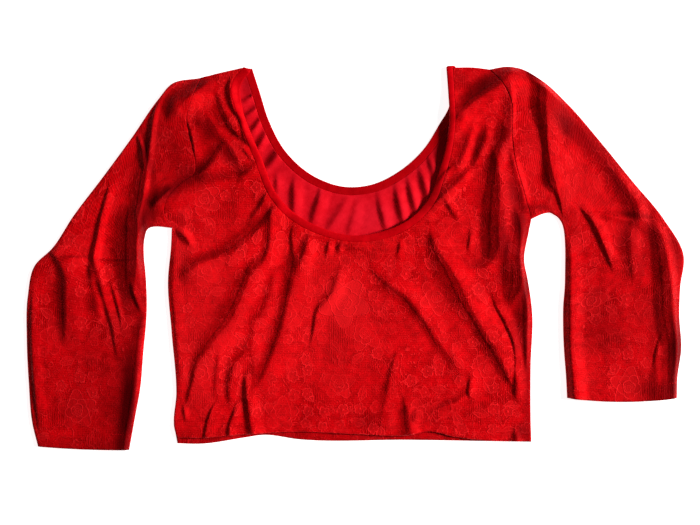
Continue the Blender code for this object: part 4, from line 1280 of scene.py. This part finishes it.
@dataclass
class ClothMesh:
    """Points, faces and cloth map of a piece while it is made."""

    points: list[np.ndarray] = field(default_factory=list)
    cloth: list[np.ndarray] = field(default_factory=list)
    painted_light_and_shade: list[np.ndarray] = field(default_factory=list)
    faces: list[tuple[int, ...]] = field(default_factory=list)
    sides: list[int] = field(default_factory=list)

    def add_points(self, points: np.ndarray, cloth: np.ndarray, painted_light_and_shade: np.ndarray | None = None) -> int:
        """Adds points.

        Args:
            points: three columns in millimetres.
            cloth: their place on the flat cloth.
            painted_light_and_shade: painted shade there, or below 0 painted light.

        Returns:
            The number of the first point added.
        """
        first = sum(len(block) for block in self.points)
        self.points.append(points)
        self.cloth.append(cloth)
        self.painted_light_and_shade.append(np.zeros(len(points)) if painted_light_and_shade is None else painted_light_and_shade)
        return first

    def add_faces(self, faces: Sequence[tuple[int, ...]], side: Side) -> None:
        """Adds faces that show one side of the cloth."""
        self.faces.extend(faces)
        self.sides.extend([side.value] * len(faces))

    def finish(self, name: str, materials: Sequence[bpy.types.Material]) -> bpy.types.Object:
        """Makes the object.

        Args:
            name: the piece's name.
            materials: one for each side that shows.

        Returns:
            The object, in metres, at the origin.
        """
        place = np.vstack(self.points).astype(float)
        place[:, :2] -= MIDDLE
        mesh = bpy.data.meshes.new(name)
        mesh.from_pydata((place * MM).tolist(), [], self.faces)
        for material in materials:
            mesh.materials.append(material)
        mesh.polygons.foreach_set("material_index", np.array(self.sides, np.int32))
        lay_cloth_map(mesh, np.vstack(self.cloth) * MM)
        painted_light_and_shade = mesh.attributes.new(PAINTED_LIGHT_AND_SHADE, "FLOAT", "POINT")
        painted_light_and_shade.data.foreach_set("value", np.concatenate(self.painted_light_and_shade).astype(np.float32))
        mesh.shade_smooth()
        mesh.update()
        return place_object(name, mesh)


def settle(piece: bpy.types.Object, node: str | None = None) -> None:
    """Makes a piece ride on the blouse and, where given, hides the node that it replaces."""
    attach(piece, BODY)
    if node:
        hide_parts(node)
    mesh = piece.data
    mesh.calc_loop_triangles()
    LOG.info("%s: %d triangles", piece.name, len(mesh.loop_triangles))


@dataclass
class Panel:
    """A flat-cut piece of the body: a closed thin wall with soft edges."""

    name: str
    node: str
    blouse: Blouse
    neck_line: np.ndarray
    neck_halves: np.ndarray
    hem_line: np.ndarray
    upper: bool
    step: float
    under_step: float = 6.0
    rows: tuple[float, ...] = (0.5, 1.1, 1.9)

    def outline(self) -> np.ndarray:
        """Points all round the piece, anticlockwise."""
        blouse = self.blouse
        neck = self.neck_line[:, :2] - left_normals(self.neck_line) * self.neck_halves[:, None]
        edges = (
            smooth_curve((tuple(neck[0]), *SHOULDER_LEFT[1:])),
            blouse.armhole_left,
            smooth_curve((*SIDE_LEFT, tuple(self.hem_line[0]))),
            self.hem_line,
            smooth_curve((tuple(self.hem_line[-1]), *SIDE_RIGHT[1:])),
            blouse.armhole_right[::-1],
            smooth_curve((*SHOULDER_RIGHT[:2], tuple(neck[-1]))),
            neck[::-1],
        )
        return np.vstack([edge[:-1, :2] for edge in edges])

    def triangulate(
        self, outline: np.ndarray, step: float, rows: Sequence[float]
    ) -> tuple[np.ndarray, list]:
        """Fills the outline with rows that follow the edge and an even lattice.

        Args:
            outline: points all round, which come first in the result.
            step: spacing of the lattice.
            rows: distances of the rows from the edge.

        Returns:
            The plan points and the triangles.
        """
        ring = np.vstack([outline, outline[:1]])
        normals = left_normals(np.vstack([outline[-1:], ring]))[1:-1]
        kept = [outline]
        for depth in rows:
            row = outline + normals * depth
            kept.append(row[inside(row, outline) & (distance_to(row, ring, NEAR_EDGE) > ROW_CLEAR * depth)])
        low, high = outline.min(axis=0), outline.max(axis=0)
        lift = step * np.sqrt(0.75)
        columns, lines = (high - low) / (step, lift) + 1
        across, up = np.meshgrid(np.arange(columns), np.arange(lines))
        lattice = np.stack([low[0] + step * (across + 0.5 * (up % 2)), low[1] + lift * up], axis=2)
        lattice = lattice.reshape(-1, 2)
        lattice = lattice[inside(lattice, outline)]
        clear = (rows[-1] if rows else 0.0) + LATTICE_CLEAR * step
        kept.append(lattice[distance_to(lattice, ring, clear + 1.0) > clear])
        loop = list(range(len(outline)))
        points = [Vector(point) for point in np.vstack(kept)]
        flat, _, triangles, *_ = delaunay_2d_cdt(points, [], [loop], 1, WELD)
        return np.array(flat), [tuple(t) for t in triangles]

    def under(self, flat: np.ndarray) -> np.ndarray:
        """Height of the underside at each point."""
        return self.blouse.upper_under(flat) if self.upper else self.blouse.back_under(flat)

    def top(self, flat: np.ndarray, outline: np.ndarray) -> np.ndarray:
        """Height of the top at each point, soft towards the edges."""
        from_edge = distance_to(flat, np.vstack([outline, outline[:1]]), NEAR_EDGE)
        seams = (self.blouse.armhole_left, self.blouse.armhole_right, self.neck_line[:, :2])
        from_seam = np.min([distance_to(flat, line, NEAR_SEAM) for line in seams], axis=0)
        share = SEAM_DROP + (1 - SEAM_DROP) * smoothstep((from_seam - SEAM_NEAR) / SEAM_FADE)
        edge_drop = EDGE_DROP * WALL * share * (1 - dome(from_edge / EDGE_ROUND))
        if self.upper:
            return self.blouse.front_top(flat) - edge_drop
        return self.under(flat) + WALL - edge_drop

    def painted_light_and_shade(self, flat: np.ndarray) -> np.ndarray:
        """Painted shade at seam grooves, in creases, on the back in the shadow of the front's hem, and of
        the patches, which paint light below 0.
        """
        if self.upper:
            painted_crease_shade = CREASE_SHADE * self.blouse.upper.crease(flat)
            painted_seam_shade = GROOVE_SHADE * self.blouse.seam_groove(flat)
            return np.maximum(painted_seam_shade, painted_crease_shade) + self.blouse.nap_tone_and_painted_shade(flat)
        # Painted shadow on the back: its turned-up hem strip, and a dark line just below the front's hem
        # edge
        below_hem = distance_to(flat, self.blouse.hem_front, NEAR_HEM)
        painted_crease_shade = CREASE_SHADE * self.blouse.ribs.crease(flat)
        hem = np.maximum(HEM_SHADE * (flat[:, 1] < HEM_TOP), np.exp(-((below_hem / HEM_SHADOW) ** 2)))
        return np.maximum(painted_crease_shade, hem) + self.blouse.nap_tone_and_painted_shade(flat, BACK_LIGHT_AND_SHADE_PATCHES)

    def make(self, wardrobe: Wardrobe) -> bpy.types.Object:
        """Builds the piece and dresses it.

        Args:
            wardrobe: the materials.

        Returns:
            The finished piece.
        """
        outline = self.outline()
        flat, over = self.triangulate(outline, self.step, self.rows)
        plain, below = self.triangulate(outline, self.under_step, ())
        mesh = ClothMesh()
        mesh.add_points(np.column_stack([flat, self.top(flat, outline)]), flat, self.painted_light_and_shade(flat))
        first = mesh.add_points(np.column_stack([plain, self.under(plain)]), plain)
        if self.upper:
            mesh.add_faces(over, Side.RIGHT_SIDE)
        else:
            turned_up = flat[np.array(over), 1].mean(axis=1) < HEM_TOP
            for shown, side in ((turned_up, Side.RIGHT_SIDE), (~turned_up, Side.WRONG_SIDE)):
                mesh.add_faces([over[i] for i in np.flatnonzero(shown)], side)
        side = Side.WRONG_SIDE if self.upper else Side.RIGHT_SIDE
        mesh.add_faces([tuple(first + i for i in reversed(t)) for t in below], side)
        around = [(i, (i + 1) % len(outline)) for i in range(len(outline))]
        mesh.add_faces([(first + i, first + j, j, i) for i, j in around], Side.RIGHT_SIDE)
        piece = mesh.finish(self.name, (wardrobe.velvet, wardrobe.knit))
        settle(piece, self.node)
        return piece


@dataclass
class Sleeve:
    """A sleeve as a flattened tube with soft edges.

    Its columns are closer together near both edges, and `away` is 1 where it lies to the right of the body
    and -1 to the left. Each layer has a place of its own on the cloth map, so neither mirrors the other.
    """

    name: str
    node: str
    blouse: Blouse
    sections: Rows
    armhole: np.ndarray
    away: float
    cuff_bow: float
    columns: int = 98
    row_step: float = 2.0
    edge_shares: tuple[float, ...] = (0.0, 0.004, 0.010, 0.017, 0.027)
    first_share: float = 0.036
    edge_round: float = 3.0
    least_layer: float = 0.4
    least_gap: float = 0.1
    lining_inset: float = 0.3
    cuff_part: float = 0.2
    upper_cloth: tuple[float, float] = (400.0, 0.0)
    lower_cloth: tuple[float, float] = (1000.0, 0.0)
    stitched: tuple[float, float, int] = (0.03, 0.97, 60)
    hem_rows: int = 8

    def shares(self) -> np.ndarray:
        """Places across the sleeve from 0 to 1, closer together near both edges."""
        edge = np.array(self.edge_shares)
        middle = np.linspace(self.first_share, 1 - self.first_share, self.columns)
        return np.concatenate([edge, middle, 1 - edge[::-1]])

    def grid(self, across: np.ndarray) -> np.ndarray:
        """Plan points, rows from the armhole to the cuff and columns from the outer to the inner edge.

        Args:
            across: place of each column, from 0 to 1.

        Returns:
            An array of rows, columns and x, y.
        """
        rows = smooth_curve(self.sections, self.row_step)
        share = across[:, None]
        cap_line = self.armhole - self.away * SEAM_LAP * left_normals(self.armhole)
        along = distances_along(cap_line)
        cap_line = np.column_stack([np.interp(across * along[-1], along, axis) for axis in cap_line.T])
        chord = (1 - share) * cap_line[0] + share * cap_line[-1]
        grid = [cap_line]
        for number, (outer_x, outer_y, inner_x, inner_y) in enumerate(rows[1:], 1):
            place = number / (len(rows) - 1)
            cap = 1 - smoothstep(place / CAP_FADE)
            straight = (1 - share) * (outer_x, outer_y) + share * (inner_x, inner_y)
            near_cuff = smoothstep((place - 1 + self.cuff_part) / self.cuff_part)
            bow = self.cuff_bow * near_cuff * 4 * share * (1 - share)
            grid.append(straight + cap * (cap_line - chord) - bow * (0.0, 1.0))
        return np.array(grid)

    def cloth_places(self, grid: np.ndarray) -> np.ndarray:
        """Place of each grid point on the cut cloth: across and down the sleeve."""
        step = lengths(np.diff(grid, axis=1))
        across = np.concatenate([np.zeros((len(grid), 1)), np.cumsum(step, axis=1)], axis=1)
        across -= across[:, -1:] / 2
        down = distances_along(grid[:, grid.shape[1] // 2])
        return np.stack([across, -np.broadcast_to(down[:, None], across.shape)], axis=2)

    def layers(self, grid: np.ndarray, upper: bool) -> tuple[np.ndarray, np.ndarray, np.ndarray]:
        """Heights of one layer's outer and inner faces, and its painted shade.

        Args:
            grid: plan points of the layer.
            upper: whether it is the upper one.

        Returns:
            Outer heights, inner heights and the painted shade, each with rows and columns.
        """
        shape = grid.shape[:2]
        flat = grid.reshape(-1, 2)
        to_edge = np.minimum(lengths(grid - grid[:, :1]), lengths(grid - grid[:, -1:]))
        swell = dome(to_edge / self.edge_round)
        floor = SLEEVE_MIDDLE * (1 - swell)
        floor_inside = np.maximum(floor + self.least_layer, WALL * swell)
        if not upper:
            return floor, floor_inside, np.zeros(shape)
        under = self.blouse.upper_under(flat).reshape(shape)
        groove = self.blouse.seam_groove(flat).reshape(shape)
        hem = self.blouse.hem_step(distance_to(flat, grid[-1])).reshape(shape)
        top = SLEEVE_MIDDLE + (under + WALL - SLEEVE_MIDDLE + hem - GROOVE_DEPTH * groove) * swell
        ceiling = np.maximum(np.minimum(under, top - self.least_layer), floor_inside + self.least_gap)
        # Painted shade in creases and seam grooves, and the patches of painted shade and light
        painted_crease_shade = CREASE_SHADE * self.blouse.upper.crease(flat).reshape(shape)
        nap_tone_and_painted_shade = self.blouse.nap_tone_and_painted_shade(flat).reshape(shape)
        return top, ceiling, np.maximum(GROOVE_SHADE * groove, painted_crease_shade) + nap_tone_and_painted_shade

    def make(self, wardrobe: Wardrobe) -> bpy.types.Object:
        """Builds the tube and dresses it.

        Args:
            wardrobe: the materials.

        Returns:
            The finished piece.
        """
        over = self.grid(self.shares())
        top, ceiling, painted_light_and_shade = self.layers(over, True)
        bottom, floor, plain = self.layers(over, False)
        plan = np.concatenate([over, over[:, -2:0:-1]], axis=1)
        rows, ring = plan.shape[:2]
        cloth = self.cloth_places(over) + self.upper_cloth
        cloth_below = cloth[:, -2:0:-1] * (-1.0, 1.0) + self.lower_cloth
        cloth = np.concatenate([cloth, cloth_below], axis=1)
        # Painted shade and light round the ring; the lower layer gets none
        ring_light_and_shade = np.concatenate([painted_light_and_shade, plain[:, -2:0:-1]], axis=1)
        inward = over[:, -1] - over[:, 0]
        inward /= lengths(inward)[:, None]
        mesh = ClothMesh()
        for high, low, inset in ((top, bottom, 0.0), (ceiling, floor, self.lining_inset)):
            layer = plan.copy()
            layer[:, 0] += inset * inward
            layer[:, over.shape[1] - 1] -= inset * inward
            height = np.concatenate([high, low[:, -2:0:-1]], axis=1)[..., None]
            points = np.concatenate([layer, height], axis=2).reshape(-1, 3)
            mesh.add_points(points, cloth.reshape(-1, 2), ring_light_and_shade.ravel())
        outside, lining, ends = [], [], []
        shift, last = rows * ring, (rows - 1) * ring
        for column in range(ring):
            after = (column + 1) % ring
            for start in range(0, last, ring):
                a, b, c, d = start + column, start + after, start + ring + after, start + ring + column
                outside.append((a, b, c, d))
                lining.append((d + shift, c + shift, b + shift, a + shift))
            ends.append((after, column, column + shift, after + shift))
            ends.append((column + last, after + last, after + last + shift, column + last + shift))
        if self.away < 0:
            outside, lining, ends = ([face[::-1] for face in faces] for faces in (outside, lining, ends))
        mesh.add_faces(outside, Side.RIGHT_SIDE)
        mesh.add_faces(lining, Side.WRONG_SIDE)
        mesh.add_faces(ends, Side.RIGHT_SIDE)
        piece = mesh.finish(self.name, (wardrobe.velvet, wardrobe.knit))
        settle(piece, self.node)
        return piece

    def cuff_line(self, inset: float) -> np.ndarray:
        """Points on the upper layer, a distance inside the cuff's edge, from edge to edge."""
        grid = self.grid(np.linspace(*self.stitched))
        up = grid[-self.hem_rows] - grid[-1]
        line = grid[-1] + inset * up / lengths(up)[:, None]
        height = self.blouse.upper_under(line) + WALL + self.blouse.hem_step(np.full(len(line), inset))
        return np.column_stack([line, height])


@dataclass
class NeckBinding:
    """One strip of binding round the whole neckline, folded over both shoulders."""

    blouse: Blouse
    name: str = "neck_binding_cloth"
    node: str = "neck_binding"
    crown: float = 0.55
    edge_drop: float = 0.35
    edge_round: float = 0.25
    back_crown: float = 0.1
    back_rise: float = 0.4
    # Painted shade: an even amount on the whole back strip, and a share of the painted patches on the front
    # strip
    back_shade: float = 0.3
    front_shade: float = 0.5
    edge_turn: float = 1.2
    turn_flat: float = 0.8
    turn_least: float = 0.05
    shares: tuple[float, ...] = (-0.5, -0.46, -0.40, -0.31, -0.16, 0.0, 0.16, 0.31, 0.40, 0.46, 0.5)
    turn_angles: tuple[float, ...] = (0.4, 0.8, 1.2, 1.57, 1.94, 2.34, 2.74)

    def strip(self, line: np.ndarray, widths: np.ndarray | float) -> np.ndarray:
        """Plan points across the strip at each station, from the seam side to the neck side."""
        normals = left_normals(line) * np.reshape(widths + 2 * SEAM_LAP, (-1, 1))
        return np.stack([line[:, :2] + share * normals for share in self.shares], axis=1)

    def make(self, wardrobe: Wardrobe) -> bpy.types.Object:
        """Builds the ring and dresses it.

        Args:
            wardrobe: the materials.

        Returns:
            The finished piece.
        """
        blouse = self.blouse
        front = self.strip(blouse.front_neck, blouse.front_neck[:, 2])
        back = self.strip(blouse.back_neck, BACK_BINDING_WIDTH)[::-1]
        shares = np.abs(np.array(self.shares)) * 2
        crown = self.crown * (1 - shares**2) - self.edge_drop * (1 - dome((1 - shares) / self.edge_round))
        stations = []
        for row in front:
            under = blouse.upper_under(row)
            stations.append((np.column_stack([row, under + WALL + crown]), np.column_stack([row, under])))
        turn_right = self.turn(stations[-1], back[0], crown)
        turn_left = self.turn(stations[0], back[-1], crown)[::-1]
        low = np.maximum(-crown * self.back_rise, 0.0)
        top = WALL + np.minimum(crown, self.back_crown)
        back_rows = [(np.column_stack([row, low]), np.column_stack([row, top])) for row in back]
        stations += turn_right + back_rows + turn_left
        width = len(self.shares)
        ring = 2 * width
        points = np.vstack([np.vstack([over, below[::-1]]) for over, below in stations])
        middles = np.array([over[width // 2] for over, _ in stations])
        along = np.concatenate([[0.0], np.cumsum(np.linalg.norm(np.diff(middles, axis=0), axis=1))])
        across = np.array([*self.shares, *self.shares[::-1]]) * BACK_BINDING_WIDTH
        cloth = np.stack(np.meshgrid(across, along), axis=2).reshape(-1, 2)
        # Painted shade of each station, the patches on the front rows and an even amount on the others
        shade = np.zeros((len(stations), ring))
        nap_tone_and_painted_shade = self.front_shade * blouse.nap_tone_and_painted_shade(front.reshape(-1, 2)).reshape(len(front), width)
        shade[:len(front)] = np.hstack([nap_tone_and_painted_shade, nap_tone_and_painted_shade[:, ::-1]])
        shade[len(front):] = self.back_shade
        mesh = ClothMesh()
        mesh.add_points(points, cloth, shade.ravel())
        faces = []
        for row in range(len(stations)):
            here, there = row * ring, (row + 1) % len(stations) * ring
            for column in range(ring):
                after = (column + 1) % ring
                faces.append((here + column, there + column, there + after, here + after))
        mesh.add_faces(faces, Side.RIGHT_SIDE)
        piece = mesh.finish(self.name, (wardrobe.trim,))
        settle(piece, self.node)
        return piece

    def turn(self, start: tuple[np.ndarray, np.ndarray], end: np.ndarray, crown: np.ndarray) -> list:
        """Stations that roll the strip over a shoulder, from the front row to the back row."""
        radius = start[1][:, 2].mean() / 2
        made = []
        for angle in self.turn_angles:
            share = (1 - np.cos(angle)) / 2
            spoke = np.array((0.0, np.sin(angle), np.cos(angle)))
            plan = (1 - share) * start[0][:, :2] + share * end
            centre = np.column_stack([plan, np.full(len(end), radius + WALL / 2)])
            proud = (radius + WALL / 2 + crown * (1 - self.turn_flat * share))[:, None]
            below = max(radius - WALL / 2, self.turn_least)
            made.append((centre + proud * spoke, centre + below * spoke))
        return made


class Stitching:
    """Runs of machine stitches, made by a Geometry Nodes tree along lines on the cloth."""

    NAME = "run of stitches"
    SIZES_MM = {"Stitch Length": 2.2, "Gap": 0.66, "Thread Width": 0.5}

    def __init__(self, thread: bpy.types.Material) -> None:
        """Builds the tree once."""
        self.thread = thread
        self.tree = self.build()

    def build(self) -> bpy.types.NodeTree:
        """Makes the tree: a short rounded stitch at every step of a line.

        Returns:
            The tree, with inputs for the stitch's length, the gap and the thread's width.
        """
        group = bpy.data.node_groups.new(self.NAME, "GeometryNodeTree")
        group.interface.new_socket(name="Geometry", in_out="INPUT", socket_type="NodeSocketGeometry")
        for label, size in self.SIZES_MM.items():
            socket = group.interface.new_socket(name=label, in_out="INPUT", socket_type="NodeSocketFloat")
            socket.default_value = size * MM
        group.interface.new_socket(name="Thread", in_out="INPUT", socket_type="NodeSocketMaterial")
        group.interface.new_socket(name="Geometry", in_out="OUTPUT", socket_type="NodeSocketGeometry")
        tree = Tree(group)
        given = tree.node("NodeGroupInput").outputs
        length, width = given["Stitch Length"], given["Thread Width"]
        line = tree.node("GeometryNodeMeshToCurve", {"Mesh": given["Geometry"]}).outputs["Curve"]
        even = tree.node(
            "GeometryNodeResampleCurve", {"Curve": line, "Length": tree.math("ADD", length, given["Gap"])},
            mode="LENGTH",
        ).outputs["Curve"]
        ball = tree.node("GeometryNodeMeshUVSphere", {"Segments": 6, "Rings": 4, "Radius": 0.5})
        size = tree.node("ShaderNodeCombineXYZ", {"X": length, "Y": width, "Z": width})
        tangent = tree.node("GeometryNodeInputTangent").outputs["Tangent"]
        turned = tree.node("FunctionNodeAlignRotationToVector", {"Vector": tangent}, axis="X")
        run = tree.node("GeometryNodeInstanceOnPoints", {
            "Points": even,
            "Instance": ball.outputs["Mesh"],
            "Rotation": turned.outputs["Rotation"],
            "Scale": size.outputs["Vector"],
        })
        real = tree.node("GeometryNodeRealizeInstances", {"Geometry": run.outputs["Instances"]})
        dyed = tree.node(
            "GeometryNodeSetMaterial", {"Geometry": real.outputs["Geometry"], "Material": given["Thread"]}
        )
        tree.node("NodeGroupOutput", {"Geometry": dyed.outputs["Geometry"]})
        return group

    def sew(self, name: str, lines: Sequence[np.ndarray]) -> bpy.types.Object:
        """Sews along lines.

        Args:
            name: the piece's name.
            lines: points in millimetres, three columns.

        Returns:
            The finished stitches as a plain mesh.
        """
        points, edges = [], []
        for line in lines:
            place = np.array(line, float)
            place[:, :2] -= MIDDLE
            edges += [(len(points) + i, len(points) + i + 1) for i in range(len(place) - 1)]
            points += (place * MM).tolist()
        guide = bpy.data.meshes.new(name)
        guide.from_pydata(points, edges, [])
        piece = place_object(name, guide)
        modifier = piece.modifiers.new(self.NAME, "NODES")
        modifier.node_group = self.tree
        given = {label: size * MM for label, size in self.SIZES_MM.items()} | {"Thread": self.thread}
        for item in self.tree.interface.items_tree:
            if item.item_type == "SOCKET" and item.in_out == "INPUT" and item.name in given:
                modifier[item.identifier] = given[item.name]
        depsgraph = bpy.context.evaluated_depsgraph_get()
        sewn = bpy.data.meshes.new_from_object(piece.evaluated_get(depsgraph))
        piece.modifiers.clear()
        piece.data = sewn
        sewn.name = name
        sewn.shade_smooth()
        place = np.empty(3 * len(sewn.vertices), np.float32)
        sewn.vertices.foreach_get("co", place)
        lay_cloth_map(sewn, place.reshape(-1, 3))
        settle(piece)
        return piece


@dataclass(frozen=True)
class Lamp:
    """A square soft light: degrees anticlockwise from the right and above the floor, metres and watts."""

    name: str
    bearing: float
    height: float
    distance: float
    size: float
    power: float

    def place(self) -> None:
        """Hangs the light so that it looks at the middle of the floor."""
        data = bpy.data.lights.new(self.name, "AREA")
        data.energy, data.size = self.power, self.size
        bearing, height = np.radians(self.bearing), np.radians(self.height)
        away = Vector((np.cos(bearing) * np.cos(height), np.sin(bearing) * np.cos(height), np.sin(height)))
        lamp = place_object(self.name, data)
        lamp.location = away * self.distance
        lamp.rotation_euler = away.to_track_quat("Z", "Y").to_euler()


class Studio:
    """Floor, lights and camera."""

    LAMPS = (Lamp("key", 8.0, 29.0, 8.0, 2.0, 950.0), Lamp("fill", 150.0, 60.0, 3.0, 2.0, 2.0))
    SURROUND = 0.09
    FLOOR_HALF = 6.0
    FLOOR_LEVEL = -0.0004
    FLOOR_GREY = 0.93
    FLOOR_GLOW = 0.85
    FLOOR_ROUGHNESS = 0.9
    IMAGE = (700, 525)
    IMAGE_MIDDLE = (-5.6, -3.6)
    MM_PER_PIXEL = 1.02
    LENS = 75.0
    SENSOR = 36.0

    def floor(self) -> None:
        """A plain pale floor under the blouse."""
        mesh = bpy.data.meshes.new("floor")
        signs = ((-1, -1), (1, -1), (1, 1), (-1, 1))
        corners = [(x * self.FLOOR_HALF, y * self.FLOOR_HALF, self.FLOOR_LEVEL) for x, y in signs]
        mesh.from_pydata(corners, [], [(0, 1, 2, 3)])
        material = bpy.data.materials.new("pale floor")
        material.use_nodes = True
        shader = material.node_tree.nodes["Principled BSDF"]
        shader.inputs["Base Color"].default_value = (*[self.FLOOR_GREY] * 3, 1.0)
        shader.inputs["Roughness"].default_value = self.FLOOR_ROUGHNESS
        shader.inputs["Emission Color"].default_value = (1.0, 1.0, 1.0, 1.0)
        shader.inputs["Emission Strength"].default_value = self.FLOOR_GLOW
        mesh.materials.append(material)
        floor = place_object("floor", mesh)

    def camera(self) -> None:
        """A camera that looks straight down, with the picture's frame."""
        data = bpy.data.cameras.new("camera")
        data.lens, data.sensor_width = self.LENS, self.SENSOR
        width = self.IMAGE[0] * self.MM_PER_PIXEL * MM
        camera = place_object("camera", data)
        x, y = (np.array(self.IMAGE_MIDDLE) - MIDDLE) * MM
        camera.location = (x, y, width * self.LENS / self.SENSOR)
        bpy.context.scene.camera = camera

    def build(self) -> None:
        """Sets up the whole studio."""
        scene = bpy.context.scene
        scene.view_settings.view_transform = "Standard"
        world = bpy.data.worlds.new("studio")
        world.use_nodes = True
        surround = world.node_tree.nodes["Background"]
        surround.inputs["Color"].default_value = (1.0, 1.0, 1.0, 1.0)
        surround.inputs["Strength"].default_value = self.SURROUND
        scene.world = world
        self.floor()
        for lamp in self.LAMPS:
            lamp.place()
        self.camera()


def main() -> None:
    """Builds every piece in order."""
    logging.basicConfig(level=logging.INFO, format="%(name)s %(message)s")
    blouse = Blouse()
    wardrobe = Wardrobe.make()
    back = Panel(
        name="back_cloth", node="back", blouse=blouse, neck_line=blouse.back_neck,
        neck_halves=np.full(len(blouse.back_neck), BACK_BINDING_WIDTH / 2), hem_line=blouse.hem_back,
        upper=False, step=2.4,
    )
    front = Panel(
        name="front_cloth", node="front", blouse=blouse, neck_line=blouse.front_neck,
        neck_halves=blouse.front_neck[:, 2] / 2, hem_line=blouse.hem_front, upper=True, step=1.25,
    )
    left = Sleeve(
        name="sleeve_left_cloth", node="sleeve_left", blouse=blouse, sections=SECTIONS_LEFT,
        armhole=blouse.armhole_left, away=-1.0, cuff_bow=1.0,
    )
    right = Sleeve(
        name="sleeve_right_cloth", node="sleeve_right", blouse=blouse, sections=SECTIONS_RIGHT,
        armhole=blouse.armhole_right, away=1.0, cuff_bow=4.0,
    )
    for part in (back, front, left, right, NeckBinding(blouse)):
        part.make(wardrobe)
    hem = blouse.hem_front[HEM_ENDS:-HEM_ENDS]
    hem_row = hem[:, :2] + left_normals(hem) * HEM_DEPTH
    hem_run = np.column_stack([hem_row, blouse.front_top(hem_row) + STITCH_PROUD])
    stitching = Stitching(wardrobe.thread)
    stitching.sew("hem_stitches", [hem_run])
    stitching.sew("cuff_stitches", [sleeve.cuff_line(HEM_DEPTH) for sleeve in (left, right)])
    Studio().build()


if __name__ == "__main__":
    main()
